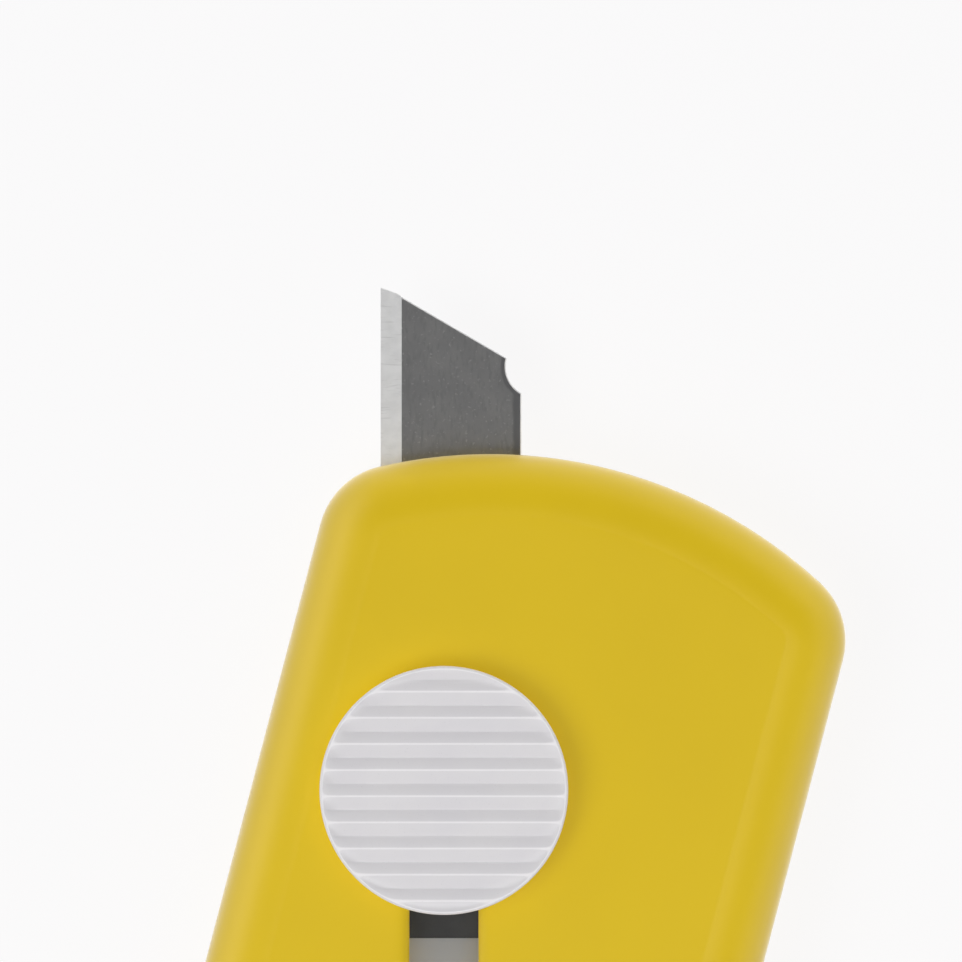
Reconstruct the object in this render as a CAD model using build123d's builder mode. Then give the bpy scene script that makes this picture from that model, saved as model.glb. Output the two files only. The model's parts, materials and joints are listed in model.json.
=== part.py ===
from build123d import *

import os
from math import cos, radians, sin, sqrt, tan

# Pocket utility knife with a thumb button that slides its blade out and in.
#
# The handle is a flat, rounded slab that lies on its back: the back face is the
# plane Z = 0 and the thumb button is on top. The blade slides along Y, and the
# handle's long axis leans away from it. Pressing the button bends a spring leaf
# out of the lock plate's window, and the button then pushes the blade carrier.
#
# All sizes are in millimetres, and every name that ends in _x, _y or _z is a
# place in the knife's own frame.

os.makedirs("parts", exist_ok=True)

# Handle
lean = 14.7  # angle from the blade's axis to the handle's long axis
body_length = 70.0
body_width = 34.5
body_thickness = 9.4
end_radius = 31.2  # radius of the bowed ends
corner_radius = 5.0
parting_z = 4.6  # where the two shells meet
wall = 1.5
front_rounding = 3.9
back_rounding = 2.2
seam_chamfer = 0.12  # on both shells, so that the seam is a fine V
front_inner_z = body_thickness - wall
root = 0.2  # how far a boss or a rib reaches into the wall that it stands on
fit = 0.05  # gap round a piece that is laid in a pocket

# Tongue on the back shell's rim, in a rebate of the front shell's
tongue_inset = 0.8
tongue_height = 0.8

# Blade: the standard narrow width, with a slanted top and a nick in its back
blade_width = 9.0
blade_thickness = 0.38
blade_edge_x = -6.0
blade_top_y = 45.7  # where the slanted top would meet the edge's line
blade_length = 28.0
blade_slant = 30.2
bevel_width = 1.34
edge_thickness = 0.03
tip_drop = 0.2  # the point is worn lower than the slanted line
tip_facet = 1.05
tip_facet_slope = 20
nick_radius = 1.96
nick_offset = 0.96
tail_corner = 1.0
blade_z = parting_z
blade_x = blade_edge_x + blade_width / 2
spine_x = blade_edge_x + blade_width
blade_tail_y = blade_top_y - blade_length
blade_gap = 0.04  # above and below the blade in its channel
peg_radius = 1.35
peg_y = blade_tail_y + 3.5

# Thumb button and its slot
slide_x = -1.95
button_y = 13.5
travel = 13.0
press = 0.55
button_radius = 7.9
button_thickness = 1.4
button_rounding = 0.3
button_bottom_z = body_thickness + press + 0.1
button_top_z = button_bottom_z + button_thickness
stem_width = 4.0
stem_length = 5.0
stem_rounding = 1.0
slot_gap = 0.2
slot_rounding = 1.2
slot_chamfer = 0.25

# Ribs across the button
rib_pitch = 1.66
rib_depth = 0.35
rib_land = 0.1
rib_valley = 0.45  # place of the valley nearest the button's middle
rib_shift = 0.06  # the valley is this far off the middle between two ridges
rib_margin = 0.8
rib_valleys = range(-4, 5)

# Button foot, under the front shell's wall
foot_top_z = front_inner_z - 0.1
foot_bottom_z = 6.3
foot_left = 4.05  # reach to each side of the slide's line
foot_right = 2.55
foot_length = 8.4
foot_rounding = 0.8
wing_reach = 5.35
wing_bottom_z = 6.45
wing_top_z = 7.0
wing_rear = 0.7  # the wing starts this far ahead of the button's middle
wing_length = 2.5
button_screw_radius = 0.8
button_screw_head = 1.4
button_screw_head_height = 0.65
button_screw_length = 3.2

# Steel channel in which the carrier and the blade run
sheet = 0.4
channel_width = 12.4
channel_rear_y = -9.2
channel_front_y = 29.4
channel_floor_z = blade_z - blade_thickness / 2 - blade_gap
channel_base_z = channel_floor_z - sheet
channel_top_z = 6.4
channel_ribs = (channel_rear_y + 0.6, 3.0, 15.0, channel_front_y - 0.6)
tab_width = 3.0
tab_length = 1.0
tab_places = [(slide_x, channel_rear_y + 0.9), (slide_x, channel_front_y - 0.9)]
support = 1.2  # thickness of the ribs and rails under the channel
fence = 0.8

# Blade carrier
carrier_width = 11.4
carrier_rear_y = 4.0
carrier_front_y = 28.6
carrier_rounding = 0.8
carrier_bottom_z = blade_z + blade_thickness / 2 + blade_gap
carrier_deck_z = 5.3
carrier_top_z = 6.9
carrier_side = 1.4
pocket_rear_y = button_y - foot_length / 2 - 0.1
pocket_front_y = button_y + foot_length / 2 + 0.1
left_x = slide_x - carrier_width / 2
right_x = slide_x + carrier_width / 2

# Spring leaf that locks the carrier
leaf_thickness = 0.25
leaf_width = 2.2
leaf_x = 2.4
leaf_rear_y = 4.8
leaf_z = 6.0
leaf_bend = 0.25
nose_y = 19.0
nose_half = 0.8  # the nose's sides stand steep, so that a load can't push it out
nose_top_z = 7.75
nose_lip = 0.9
pad_length = 4.0
rivet_radius = 0.5
rivet_head = 0.8
rivet_places = [(leaf_x, 5.7), (leaf_x, 7.5)]
leaf_side_x = leaf_x - leaf_width / 2 - 0.3

# Lock plate under the front wall, with a window for each blade position
plate_thickness = 0.5
plate_width = 3.8
plate_x = 3.1
plate_rear_y = 1.6
plate_front_y = 24.0
window_width = 2.5
window_length = 2.2
lock_steps = 2
stake_radius = 0.7
stake_length = 0.9
stake_places = [(plate_x, 3.0), (plate_x, 22.6)]

# Button springs, between the carrier's deck and the foot
spring_radius = 0.95
spring_wire = 0.11
spring_pitch = 0.55
spring_seat_z = carrier_deck_z + 0.03
spring_roof_z = 7.3
spring_places = [(slide_x, button_y - 2.9), (slide_x, button_y + 2.9)]

# Shell screws: the front left one is pushed back to clear the blade
screw_places = [(-10.7, 12.0), (17.6, 21.2), (-17.5, -20.2), (5.6, -26.4)]
boss_radius = 2.4
screw_radius = 0.98
screw_head_radius = 1.9
screw_head_height = 1.2
screw_head_rounding = 0.5
screw_sink = 0.25
screw_length = 5.6
screw_play = 0.12
cross_length = 2.0
cross_width = 0.45
cross_depth = 0.7
insert_radius = 1.6
insert_length = 2.6
insert_grip = 0.02  # play in the boss and round the screw

# Lanyard eyelet at the tail
eyelet_from_middle = 26.5
eyelet_bore = 2.3
eyelet_tube = 2.9
eyelet_boss = 4.1
eyelet_flange = 3.9
eyelet_lip = 0.35
eyelet_rim = 0.5  # rounding where the lanyard bears
eyelet_top_z = body_thickness + eyelet_lip / 2
eyelet_bottom_z = fit
eyelet_place = (
    -eyelet_from_middle * sin(radians(lean)),
    -eyelet_from_middle * cos(radians(lean)),
)

# Holding magnet in the back
magnet_place = (-2.5, -9.5)
magnet_radius = 5.5
magnet_height = 1.7
cup_radius = 6.5
cup_height = 2.2
cup_wall = 0.7
cup_floor = 0.4
cap_height = 0.3
cup_pocket_z = cap_height + cup_height + 2 * fit
cup_boss = 1.1

# Mouth, guide and rear bumper
mouth_gap = 0.25
mouth_reach = 8.0
guide_width = 11.4
guide_rear_y = 29.6
guide_front_y = 31.2
guide_bottom_z = 3.2
guide_top_z = 6.2
guide_slit_gap = 0.06
guide_post = 0.8
bumper_width = 5.2
bumper_length = 2.8
bumper_bottom_z = 3.2
bumper_top_z = 6.6
bumper_front_y = channel_rear_y - 0.35

handle_x = Vector(cos(radians(lean)), -sin(radians(lean)), 0)
handle_plane = Plane(origin=(0, 0, 0), x_dir=handle_x, z_dir=(0, 0, 1))


def save(part, name):
    """Labels a finished piece and writes its STEP file."""
    part.label = name
    export_step(part, f"parts/{name}.step")


def handle_outline(inset=0.0):
    """The handle's outline, drawn inward by inset."""
    half_width = body_width / 2 - inset
    bow = end_radius - inset
    bow_centre = body_length / 2 - end_radius
    meet_y = bow_centre + sqrt(bow**2 - half_width**2)
    with BuildSketch() as outline:
        with BuildLine():
            Line((half_width, -meet_y), (half_width, meet_y))
            ThreePointArc((half_width, meet_y), (0, bow_centre + bow), (-half_width, meet_y))
            Line((-half_width, meet_y), (-half_width, -meet_y))
            ThreePointArc((-half_width, -meet_y), (0, -bow_centre - bow), (half_width, -meet_y))
        make_face()
        fillet(outline.vertices(), radius=corner_radius - inset)
    return outline.sketch


def pillars(places, radius, bottom_z, top_z, mode=Mode.ADD):
    """Adds or cuts a round pillar at each place."""
    with BuildSketch(Plane.XY.offset(bottom_z)) as discs:
        with Locations(*places):
            Circle(radius)
    extrude(discs.sketch, amount=top_z - bottom_z, mode=mode)


def blocks(places, width, length, bottom_z, top_z, mode=Mode.ADD):
    """Adds or cuts a block at each place, width along X and length along Y."""
    with BuildSketch(Plane.XY.offset(bottom_z)) as rectangles:
        with Locations(*places):
            Rectangle(width, length)
    extrude(rectangles.sketch, amount=top_z - bottom_z, mode=mode)


def span(from_x, to_x, from_y, to_y, bottom_z, top_z, mode=Mode.ADD):
    """Adds or cuts one block between two places along each axis."""
    middle = ((from_x + to_x) / 2, (from_y + to_y) / 2)
    blocks([middle], to_x - from_x, to_y - from_y, bottom_z, top_z, mode)


def edges_at(part, z):
    """The edges that lie wholly in the level plane at height z."""
    return part.edges().filter_by_position(Axis.Z, z - 0.01, z + 0.01).filter_by(Plane.XY)


# Front shell: the rounded top cover, with the button's slot
with BuildPart() as front_shell:
    with BuildSketch(handle_plane.offset(parting_z)):
        add(handle_outline())
    extrude(amount=body_thickness - parting_z)
    fillet(edges_at(front_shell, body_thickness), radius=front_rounding)
    chamfer(edges_at(front_shell, parting_z), length=seam_chamfer)
    with BuildSketch(handle_plane.offset(parting_z)):
        add(handle_outline(wall))
    extrude(amount=front_inner_z - parting_z, mode=Mode.SUBTRACT)
    fillet(edges_at(front_shell, front_inner_z), radius=front_rounding - wall)
    # Bosses for the screws and the eyelet, and stakes that hold the lock plate
    pillars(screw_places, boss_radius, parting_z, front_inner_z + root)
    pillars([eyelet_place], eyelet_boss, parting_z, front_inner_z + root)
    pillars(stake_places, stake_radius, front_inner_z - stake_length, front_inner_z + root)
    # Ribs that hold the mouth guide down, one each side of the blade
    for side in (-1, 1):
        rib_x = blade_x + side * (guide_width / 2 - guide_post)
        span(
            rib_x - guide_post / 2,
            rib_x + guide_post / 2,
            guide_rear_y,
            guide_front_y,
            guide_top_z + fit,
            front_inner_z + root,
        )
    # Rebate that takes the back shell's tongue
    with BuildSketch(handle_plane.offset(parting_z)):
        add(handle_outline(tongue_inset))
        add(handle_outline(wall + fit), mode=Mode.SUBTRACT)
    extrude(amount=tongue_height, mode=Mode.SUBTRACT)
    # Holes for the thread inserts, the eyelet and its upper lip
    pillars(
        screw_places,
        insert_radius + insert_grip,
        parting_z,
        parting_z + insert_length + 0.2,
        Mode.SUBTRACT,
    )
    pillars([eyelet_place], eyelet_tube + fit, parting_z, body_thickness, Mode.SUBTRACT)
    pillars(
        [eyelet_place],
        eyelet_flange + fit,
        eyelet_top_z - eyelet_lip,
        body_thickness,
        Mode.SUBTRACT,
    )
    # Button slot, as long as the stem and its travel
    with BuildSketch(Plane.XY.offset(parting_z)):
        with Locations((slide_x, button_y - travel / 2)):
            RectangleRounded(
                stem_width + 2 * slot_gap,
                stem_length + travel + 2 * slot_gap,
                radius=slot_rounding,
            )
    extrude(amount=body_thickness, mode=Mode.SUBTRACT)
    slot_rim = edges_at(front_shell, body_thickness).filter_by(
        lambda edge: abs(edge.center().X - slide_x) < stem_width
        and button_y - travel - stem_length < edge.center().Y < button_y + stem_length
    )
    chamfer(slot_rim, length=slot_chamfer)
    # Upper half of the blade's mouth
    blocks(
        [(blade_x, guide_rear_y + mouth_reach / 2)],
        blade_width + 2 * mouth_gap,
        mouth_reach,
        parting_z,
        parting_z + blade_thickness / 2 + mouth_gap,
        Mode.SUBTRACT,
    )
save(front_shell.part, "front_shell")

# Back shell: the flat cover, with the seats for what lies inside
with BuildPart() as back_shell:
    with BuildSketch(handle_plane):
        add(handle_outline())
    extrude(amount=parting_z)
    fillet(edges_at(back_shell, 0), radius=back_rounding)
    chamfer(edges_at(back_shell, parting_z), length=seam_chamfer)
    with BuildSketch(handle_plane.offset(wall)):
        add(handle_outline(wall))
    extrude(amount=parting_z, mode=Mode.SUBTRACT)
    fillet(edges_at(back_shell, wall), radius=back_rounding - wall)
    # Tongue round the rim
    with BuildSketch(handle_plane.offset(parting_z - root)):
        add(handle_outline(tongue_inset + fit))
        add(handle_outline(wall), mode=Mode.SUBTRACT)
    extrude(amount=tongue_height + root - fit)
    # Rails and ribs under the channel, and a fence on each side of it
    for side in (-1, 1):
        rail_x = slide_x + side * (channel_width - support) / 2
        fence_x = slide_x + side * (channel_width / 2 + fit + fence / 2)
        for middle_x, thickness, top_z in (
            (rail_x, support, channel_base_z),
            (fence_x, fence, parting_z),
        ):
            span(
                middle_x - thickness / 2,
                middle_x + thickness / 2,
                channel_rear_y,
                channel_front_y,
                wall - root,
                top_z,
            )
    blocks(
        [(slide_x, rib_y) for rib_y in channel_ribs],
        channel_width,
        support,
        wall - root,
        channel_base_z,
    )
    # Tabs that stand in the channel's floor
    blocks(tab_places, tab_width, tab_length, channel_base_z - root, channel_base_z + sheet - 0.1)
    # Seat for the mouth guide, with a post ahead of each end
    span(
        blade_x - guide_width / 2 + 1,
        blade_x + guide_width / 2 - 1,
        guide_rear_y,
        guide_front_y,
        wall - root,
        guide_bottom_z,
    )
    for side in (-1, 1):
        post_x = blade_x + side * (guide_width - guide_post) / 2
        span(
            post_x - guide_post / 2,
            post_x + guide_post / 2,
            guide_front_y + fit,
            guide_front_y + fit + guide_post,
            wall - root,
            parting_z,
        )
    # Block that holds the rear bumper
    span(
        slide_x - bumper_width / 2 - support,
        slide_x + bumper_width / 2 + support,
        bumper_front_y - bumper_length - support,
        bumper_front_y - support / 2,
        wall - root,
        parting_z,
    )
    # Bosses for the screws, the eyelet and the magnet
    pillars(screw_places, boss_radius, wall - root, parting_z)
    pillars([eyelet_place], eyelet_boss, wall - root, parting_z)
    pillars([magnet_place], cup_radius + cup_boss, wall - root, cup_pocket_z + support / 2)
    # The bumper's pocket, open towards the carrier
    span(
        slide_x - bumper_width / 2 - fit,
        slide_x + bumper_width / 2 + fit,
        bumper_front_y - bumper_length - fit,
        bumper_front_y + support,
        bumper_bottom_z,
        parting_z + root,
        Mode.SUBTRACT,
    )
    # Pockets and bores cut from the back
    pillars([magnet_place], cup_radius + fit, 0, cup_pocket_z, Mode.SUBTRACT)
    pillars(
        screw_places,
        screw_head_radius + screw_play,
        0,
        screw_sink + screw_head_height,
        Mode.SUBTRACT,
    )
    pillars(screw_places, screw_radius + screw_play, 0, parting_z, Mode.SUBTRACT)
    pillars([eyelet_place], eyelet_tube + fit, 0, parting_z, Mode.SUBTRACT)
    pillars(
        [eyelet_place],
        eyelet_flange + fit,
        0,
        eyelet_bottom_z + eyelet_lip,
        Mode.SUBTRACT,
    )
    # Lower half of the blade's mouth
    blocks(
        [(blade_x, guide_rear_y + mouth_reach / 2)],
        blade_width + 2 * mouth_gap,
        mouth_reach,
        parting_z - blade_thickness / 2 - mouth_gap,
        body_thickness,
        Mode.SUBTRACT,
    )
save(back_shell.part, "back_shell")

# Blade channel: a folded strip of stainless sheet
with BuildPart() as blade_channel:
    with BuildSketch(Plane.XZ.offset(-channel_front_y)):
        with BuildLine():
            half = channel_width / 2
            Polyline(
                (slide_x - half, channel_top_z),
                (slide_x - half, channel_base_z),
                (slide_x + half, channel_base_z),
                (slide_x + half, channel_top_z),
                (slide_x + half - sheet, channel_top_z),
                (slide_x + half - sheet, channel_floor_z),
                (slide_x - half + sheet, channel_floor_z),
                (slide_x - half + sheet, channel_top_z),
                close=True,
            )
        make_face()
    extrude(amount=channel_front_y - channel_rear_y)
    folds = blade_channel.edges().filter_by(Axis.Y).group_by(Axis.Z)[0]
    fillet(folds, radius=sheet)
    blocks(
        tab_places,
        tab_width + 2 * fit,
        tab_length + 2 * fit,
        channel_base_z,
        channel_floor_z,
        Mode.SUBTRACT,
    )
save(blade_channel.part, "blade_channel")

# Lock plate: one window for the blade out, one for half way and one for in
with BuildPart() as lock_plate:
    with BuildSketch(Plane.XY.offset(front_inner_z - plate_thickness)):
        with Locations((plate_x, (plate_rear_y + plate_front_y) / 2)):
            RectangleRounded(plate_width, plate_front_y - plate_rear_y, radius=0.6)
        for step in range(lock_steps + 1):
            with Locations((leaf_x, nose_y - step * travel / lock_steps)):
                Rectangle(window_width, window_length, mode=Mode.SUBTRACT)
        with Locations(*stake_places):
            Circle(stake_radius + fit, mode=Mode.SUBTRACT)
    extrude(amount=plate_thickness)
save(lock_plate.part, "lock_plate")

# Mouth guide: a low-friction block with a slit for the blade
with BuildPart() as mouth_guide:
    span(
        blade_x - guide_width / 2,
        blade_x + guide_width / 2,
        guide_rear_y,
        guide_front_y,
        guide_bottom_z,
        guide_top_z,
    )
    fillet(mouth_guide.edges().filter_by(Axis.Z), radius=0.4)
    half_slit = blade_thickness / 2 + guide_slit_gap
    span(
        blade_edge_x - 3 * guide_slit_gap,
        spine_x + 3 * guide_slit_gap,
        guide_rear_y,
        guide_front_y,
        blade_z - half_slit,
        blade_z + half_slit,
        Mode.SUBTRACT,
    )
save(mouth_guide.part, "mouth_guide")

# Stop bumper: the rubber block that ends the carrier's way back
with BuildPart() as stop_bumper:
    with BuildSketch(Plane.XY.offset(bumper_bottom_z)):
        with Locations((slide_x, bumper_front_y - bumper_length / 2)):
            RectangleRounded(bumper_width, bumper_length, radius=0.8)
    extrude(amount=bumper_top_z - bumper_bottom_z)
    fillet(stop_bumper.edges().group_by(Axis.Z)[-1], radius=0.5)
save(stop_bumper.part, "stop_bumper")

# Holding magnet: a steel cup, the magnet in it and a thin cap over both
with BuildPart() as magnet_cup:
    cup_bottom_z = cap_height + fit
    pillars([magnet_place], cup_radius, cup_bottom_z, cup_bottom_z + cup_height)
    pillars(
        [magnet_place],
        cup_radius - cup_wall,
        cup_bottom_z,
        cup_bottom_z + cup_height - cup_floor,
        Mode.SUBTRACT,
    )
save(magnet_cup.part, "magnet_cup")

with BuildPart() as magnet:
    pillars([magnet_place], magnet_radius, cup_bottom_z, cup_bottom_z + magnet_height)
    chamfer(magnet.edges(), length=0.15)
save(magnet.part, "magnet")

with BuildPart() as magnet_cap:
    pillars([magnet_place], cup_radius, 0, cap_height)
    fillet(magnet_cap.edges().group_by(Axis.Z)[0], radius=0.12)
save(magnet_cap.part, "magnet_cap")

# Lanyard eyelet: a tube with a rolled lip on each face of the handle
with BuildPart() as lanyard_eyelet:
    pillars([eyelet_place], eyelet_tube, eyelet_bottom_z, eyelet_top_z)
    for lip_z in (eyelet_bottom_z, eyelet_top_z - eyelet_lip):
        pillars([eyelet_place], eyelet_flange, lip_z, lip_z + eyelet_lip)
    fillet(lanyard_eyelet.edges().group_by(Axis.Z)[-1], radius=0.3)
    pillars([eyelet_place], eyelet_bore, eyelet_bottom_z, eyelet_top_z, Mode.SUBTRACT)
    bore_rims = lanyard_eyelet.edges().filter_by(
        lambda edge: edge.geom_type == GeomType.CIRCLE and edge.radius < eyelet_bore + fit
    )
    fillet(bore_rims, radius=eyelet_rim)
save(lanyard_eyelet.part, "lanyard_eyelet")

# Shell screws: pan heads sunk in the back, with a cross recess
with BuildPart() as shell_screws:
    head_top_z = screw_sink + screw_head_height
    pillars(screw_places, screw_head_radius, screw_sink, head_top_z)
    fillet(shell_screws.edges().group_by(Axis.Z)[0], radius=screw_head_rounding)
    pillars(screw_places, screw_radius, head_top_z, head_top_z + screw_length)
    chamfer(shell_screws.edges().group_by(Axis.Z)[-1], length=0.3)
    for width, length in ((cross_length, cross_width), (cross_width, cross_length)):
        blocks(
            screw_places,
            width,
            length,
            screw_sink,
            screw_sink + cross_depth,
            Mode.SUBTRACT,
        )
save(shell_screws.part, "shell_screws")

# Thread inserts: brass bushes pressed into the front shell's bosses
with BuildPart() as thread_inserts:
    insert_z = parting_z + 0.1
    pillars(screw_places, insert_radius, insert_z, insert_z + insert_length)
    pillars(
        screw_places,
        screw_radius + insert_grip,
        insert_z,
        insert_z + insert_length,
        Mode.SUBTRACT,
    )
save(thread_inserts.part, "thread_inserts")

# Blade carrier: a thin deck that runs in the channel, with raised blocks
with BuildPart() as blade_carrier:
    with BuildSketch(Plane.XY.offset(carrier_bottom_z)):
        with Locations((slide_x, (carrier_rear_y + carrier_front_y) / 2)):
            RectangleRounded(
                carrier_width, carrier_front_y - carrier_rear_y, radius=carrier_rounding
            )
    extrude(amount=carrier_deck_z - carrier_bottom_z)
    # Rear block, side wall, front block and the block ahead of the leaf
    for from_x, to_x, from_y, to_y in (
        (left_x, leaf_side_x, carrier_rear_y, pocket_rear_y),
        (left_x, left_x + carrier_side, pocket_rear_y, pocket_front_y),
        (left_x, leaf_side_x, pocket_front_y, carrier_front_y),
        (leaf_side_x, right_x, nose_y + 3 * nose_half, carrier_front_y),
    ):
        span(from_x, to_x, from_y, to_y, carrier_deck_z, carrier_top_z)
    # Pad to which the spring leaf is riveted
    blocks(
        [(leaf_x, leaf_rear_y + pad_length / 2)],
        leaf_width,
        pad_length,
        carrier_deck_z,
        leaf_z,
    )
    pillars(rivet_places, rivet_radius, carrier_bottom_z, leaf_z, Mode.SUBTRACT)
    # Hollow in the front block, and the peg that takes the blade's hole
    with BuildSketch(Plane.XY.offset(carrier_deck_z + 0.3)):
        with Locations((slide_x - 1.2, (pocket_front_y + carrier_front_y) / 2)):
            RectangleRounded(6.0, 6.6, radius=0.8)
    extrude(amount=carrier_top_z - carrier_deck_z, mode=Mode.SUBTRACT)
    pillars([(blade_x, peg_y)], peg_radius, channel_floor_z + 0.1, carrier_deck_z)
save(blade_carrier.part, "blade_carrier")

# Blade: ground to a wedge along its edge on both faces
with BuildPart() as blade:
    half = blade_thickness / 2
    with BuildSketch(Plane.XZ.offset(-blade_top_y)):
        with BuildLine():
            Polyline(
                (blade_edge_x, blade_z - edge_thickness / 2),
                (blade_edge_x + bevel_width, blade_z - half),
                (spine_x, blade_z - half),
                (spine_x, blade_z + half),
                (blade_edge_x + bevel_width, blade_z + half),
                (blade_edge_x, blade_z + edge_thickness / 2),
                close=True,
            )
        make_face()
    extrude(amount=blade_length)
    slope = tan(radians(blade_slant))
    tip_y = blade_top_y - tip_drop
    shoulder = bevel_width + 0.1
    with BuildSketch(Plane.XY.offset(blade_z - 1)):
        with BuildLine():
            Polyline(
                (blade_edge_x, blade_tail_y),
                (blade_edge_x, tip_y),
                (
                    blade_edge_x + tip_facet,
                    tip_y - tip_facet * tan(radians(tip_facet_slope)),
                ),
                (blade_edge_x + shoulder, blade_top_y - slope * shoulder),
                (spine_x, blade_top_y - slope * blade_width),
                (spine_x, blade_tail_y + tail_corner),
                (spine_x - tail_corner, blade_tail_y),
                close=True,
            )
        make_face()
        with Locations((spine_x + nick_offset, blade_top_y - slope * blade_width)):
            Circle(nick_radius, mode=Mode.SUBTRACT)
        with Locations((blade_x, peg_y)):
            Circle(peg_radius + fit, mode=Mode.SUBTRACT)
    extrude(amount=2, mode=Mode.INTERSECT)
save(blade.part, "blade")

# Lock leaf: a spring strip whose nose stands in a window of the lock plate
with BuildPart() as lock_leaf:
    mid_z = leaf_z + leaf_thickness / 2
    nose_z = nose_top_z - leaf_thickness / 2
    with BuildSketch(Plane.YZ.offset(leaf_x - leaf_width / 2)):
        with BuildLine() as leaf_line:
            FilletPolyline(
                (leaf_rear_y, mid_z),
                (nose_y - nose_half - 0.05, mid_z),
                (nose_y - nose_half + 0.05, nose_z),
                (nose_y + nose_half - 0.05, nose_z),
                (nose_y + nose_half + 0.05, nose_top_z - nose_lip),
                radius=leaf_bend,
            )
        trace(leaf_line.line, leaf_thickness)
    extrude(amount=leaf_width)
    pillars(rivet_places, rivet_radius, leaf_z, leaf_z + leaf_thickness, Mode.SUBTRACT)
save(lock_leaf.part, "lock_leaf")

# Leaf rivets
with BuildPart() as leaf_rivets:
    rivet_top_z = leaf_z + leaf_thickness
    pillars(rivet_places, rivet_radius - 0.01, carrier_bottom_z + fit, rivet_top_z)
    pillars(rivet_places, rivet_head, rivet_top_z, rivet_top_z + 0.3)
    fillet(leaf_rivets.edges().group_by(Axis.Z)[-1], radius=0.2)
save(leaf_rivets.part, "leaf_rivets")

# Button springs: two small coils that lift the button
with BuildPart() as button_springs:
    coil_z = spring_seat_z + spring_wire
    coil_height = spring_roof_z - coil_z - spring_wire - 0.03
    for spring_x, spring_y in spring_places:
        with BuildLine():
            Helix(spring_pitch, coil_height, spring_radius, center=(spring_x, spring_y, coil_z))
        coil_start = Plane(origin=(spring_x + spring_radius, spring_y, coil_z), z_dir=(0, 1, 0))
        with BuildSketch(coil_start):
            Circle(spring_wire)
        sweep()
save(button_springs.part, "button_springs")

# Grooves between the button's ribs, as one cutter kept inside its rim
with BuildPart() as groove_cutters:
    half_groove = (rib_pitch - rib_land) / 2
    for step in rib_valleys:
        valley_y = button_y + rib_valley + step * rib_pitch
        groove_rear_y = valley_y - half_groove + rib_shift
        groove_front_y = valley_y + half_groove + rib_shift
        with BuildSketch(Plane.YZ.offset(slide_x - button_radius)):
            with BuildLine():
                Polyline(
                    (valley_y, button_top_z - rib_depth),
                    (groove_front_y, button_top_z),
                    (groove_front_y, button_top_z + 1),
                    (groove_rear_y, button_top_z + 1),
                    (groove_rear_y, button_top_z),
                    close=True,
                )
            make_face()
        extrude(amount=2 * button_radius)
    pillars(
        [(slide_x, button_y)],
        button_radius - rib_margin,
        button_top_z - 1,
        button_top_z + 1,
        Mode.INTERSECT,
    )

# Thumb button: a ribbed disc on a stem that passes through the slot
with BuildPart() as thumb_button:
    pillars([(slide_x, button_y)], button_radius, button_bottom_z, button_top_z)
    fillet(thumb_button.edges().group_by(Axis.Z)[-1], radius=button_rounding)
    chamfer(thumb_button.edges().group_by(Axis.Z)[0], length=0.2)
    add(groove_cutters.part, mode=Mode.SUBTRACT)
    with BuildSketch(Plane.XY.offset(foot_top_z)):
        with Locations((slide_x, button_y)):
            RectangleRounded(stem_width, stem_length, radius=stem_rounding)
    extrude(amount=button_bottom_z - foot_top_z + 0.1)
    pillars(
        [(slide_x, button_y)],
        button_screw_radius + 0.02,
        foot_top_z,
        foot_top_z + 2.6,
        Mode.SUBTRACT,
    )
save(thumb_button.part, "thumb_button")

# Button foot: the inner half of the button, with a wing over the spring leaf
with BuildPart() as button_foot:
    span(
        slide_x - foot_left,
        slide_x + foot_right,
        button_y - foot_length / 2,
        button_y + foot_length / 2,
        foot_bottom_z,
        foot_top_z,
    )
    fillet(button_foot.edges().filter_by(Axis.Z), radius=foot_rounding)
    span(
        slide_x,
        slide_x + wing_reach,
        button_y + wing_rear,
        button_y + wing_rear + wing_length,
        wing_bottom_z,
        wing_top_z,
    )
    pillars(
        spring_places,
        spring_radius + spring_wire + 0.12,
        foot_bottom_z,
        spring_roof_z,
        Mode.SUBTRACT,
    )
    pillars(
        [(slide_x, button_y)],
        button_screw_head + 0.15,
        foot_bottom_z,
        foot_bottom_z + 0.1 + button_screw_head_height,
        Mode.SUBTRACT,
    )
    pillars(
        [(slide_x, button_y)],
        button_screw_radius + 0.1,
        foot_bottom_z,
        foot_top_z,
        Mode.SUBTRACT,
    )
save(button_foot.part, "button_foot")

# Button screw: joins the foot to the stem through the slot
with BuildPart() as button_screw:
    head_z = foot_bottom_z + 0.1
    neck_z = head_z + button_screw_head_height
    pillars([(slide_x, button_y)], button_screw_head, head_z, neck_z)
    pillars([(slide_x, button_y)], button_screw_radius, neck_z, neck_z + button_screw_length)
    for width, length in ((1.7, 0.35), (0.35, 1.7)):
        blocks(
            [(slide_x, button_y)], width, length, head_z, head_z + 0.35, Mode.SUBTRACT
        )
save(button_screw.part, "button_screw")
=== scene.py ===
"""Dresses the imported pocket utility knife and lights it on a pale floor.

The CAD model is loaded as a fixed frame. The ribbed button, the blade, the lock leaf, the screws,
the bushes, the coil springs, the eyelet and the magnet's cap are rebuilt here in full detail; the
other pieces keep their CAD shape and get a finish. Lengths are in metres unless a name says mm.
"""

from __future__ import annotations

import json
import logging
import math
from dataclasses import dataclass, field
from enum import Enum
from typing import Any, Sequence

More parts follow.
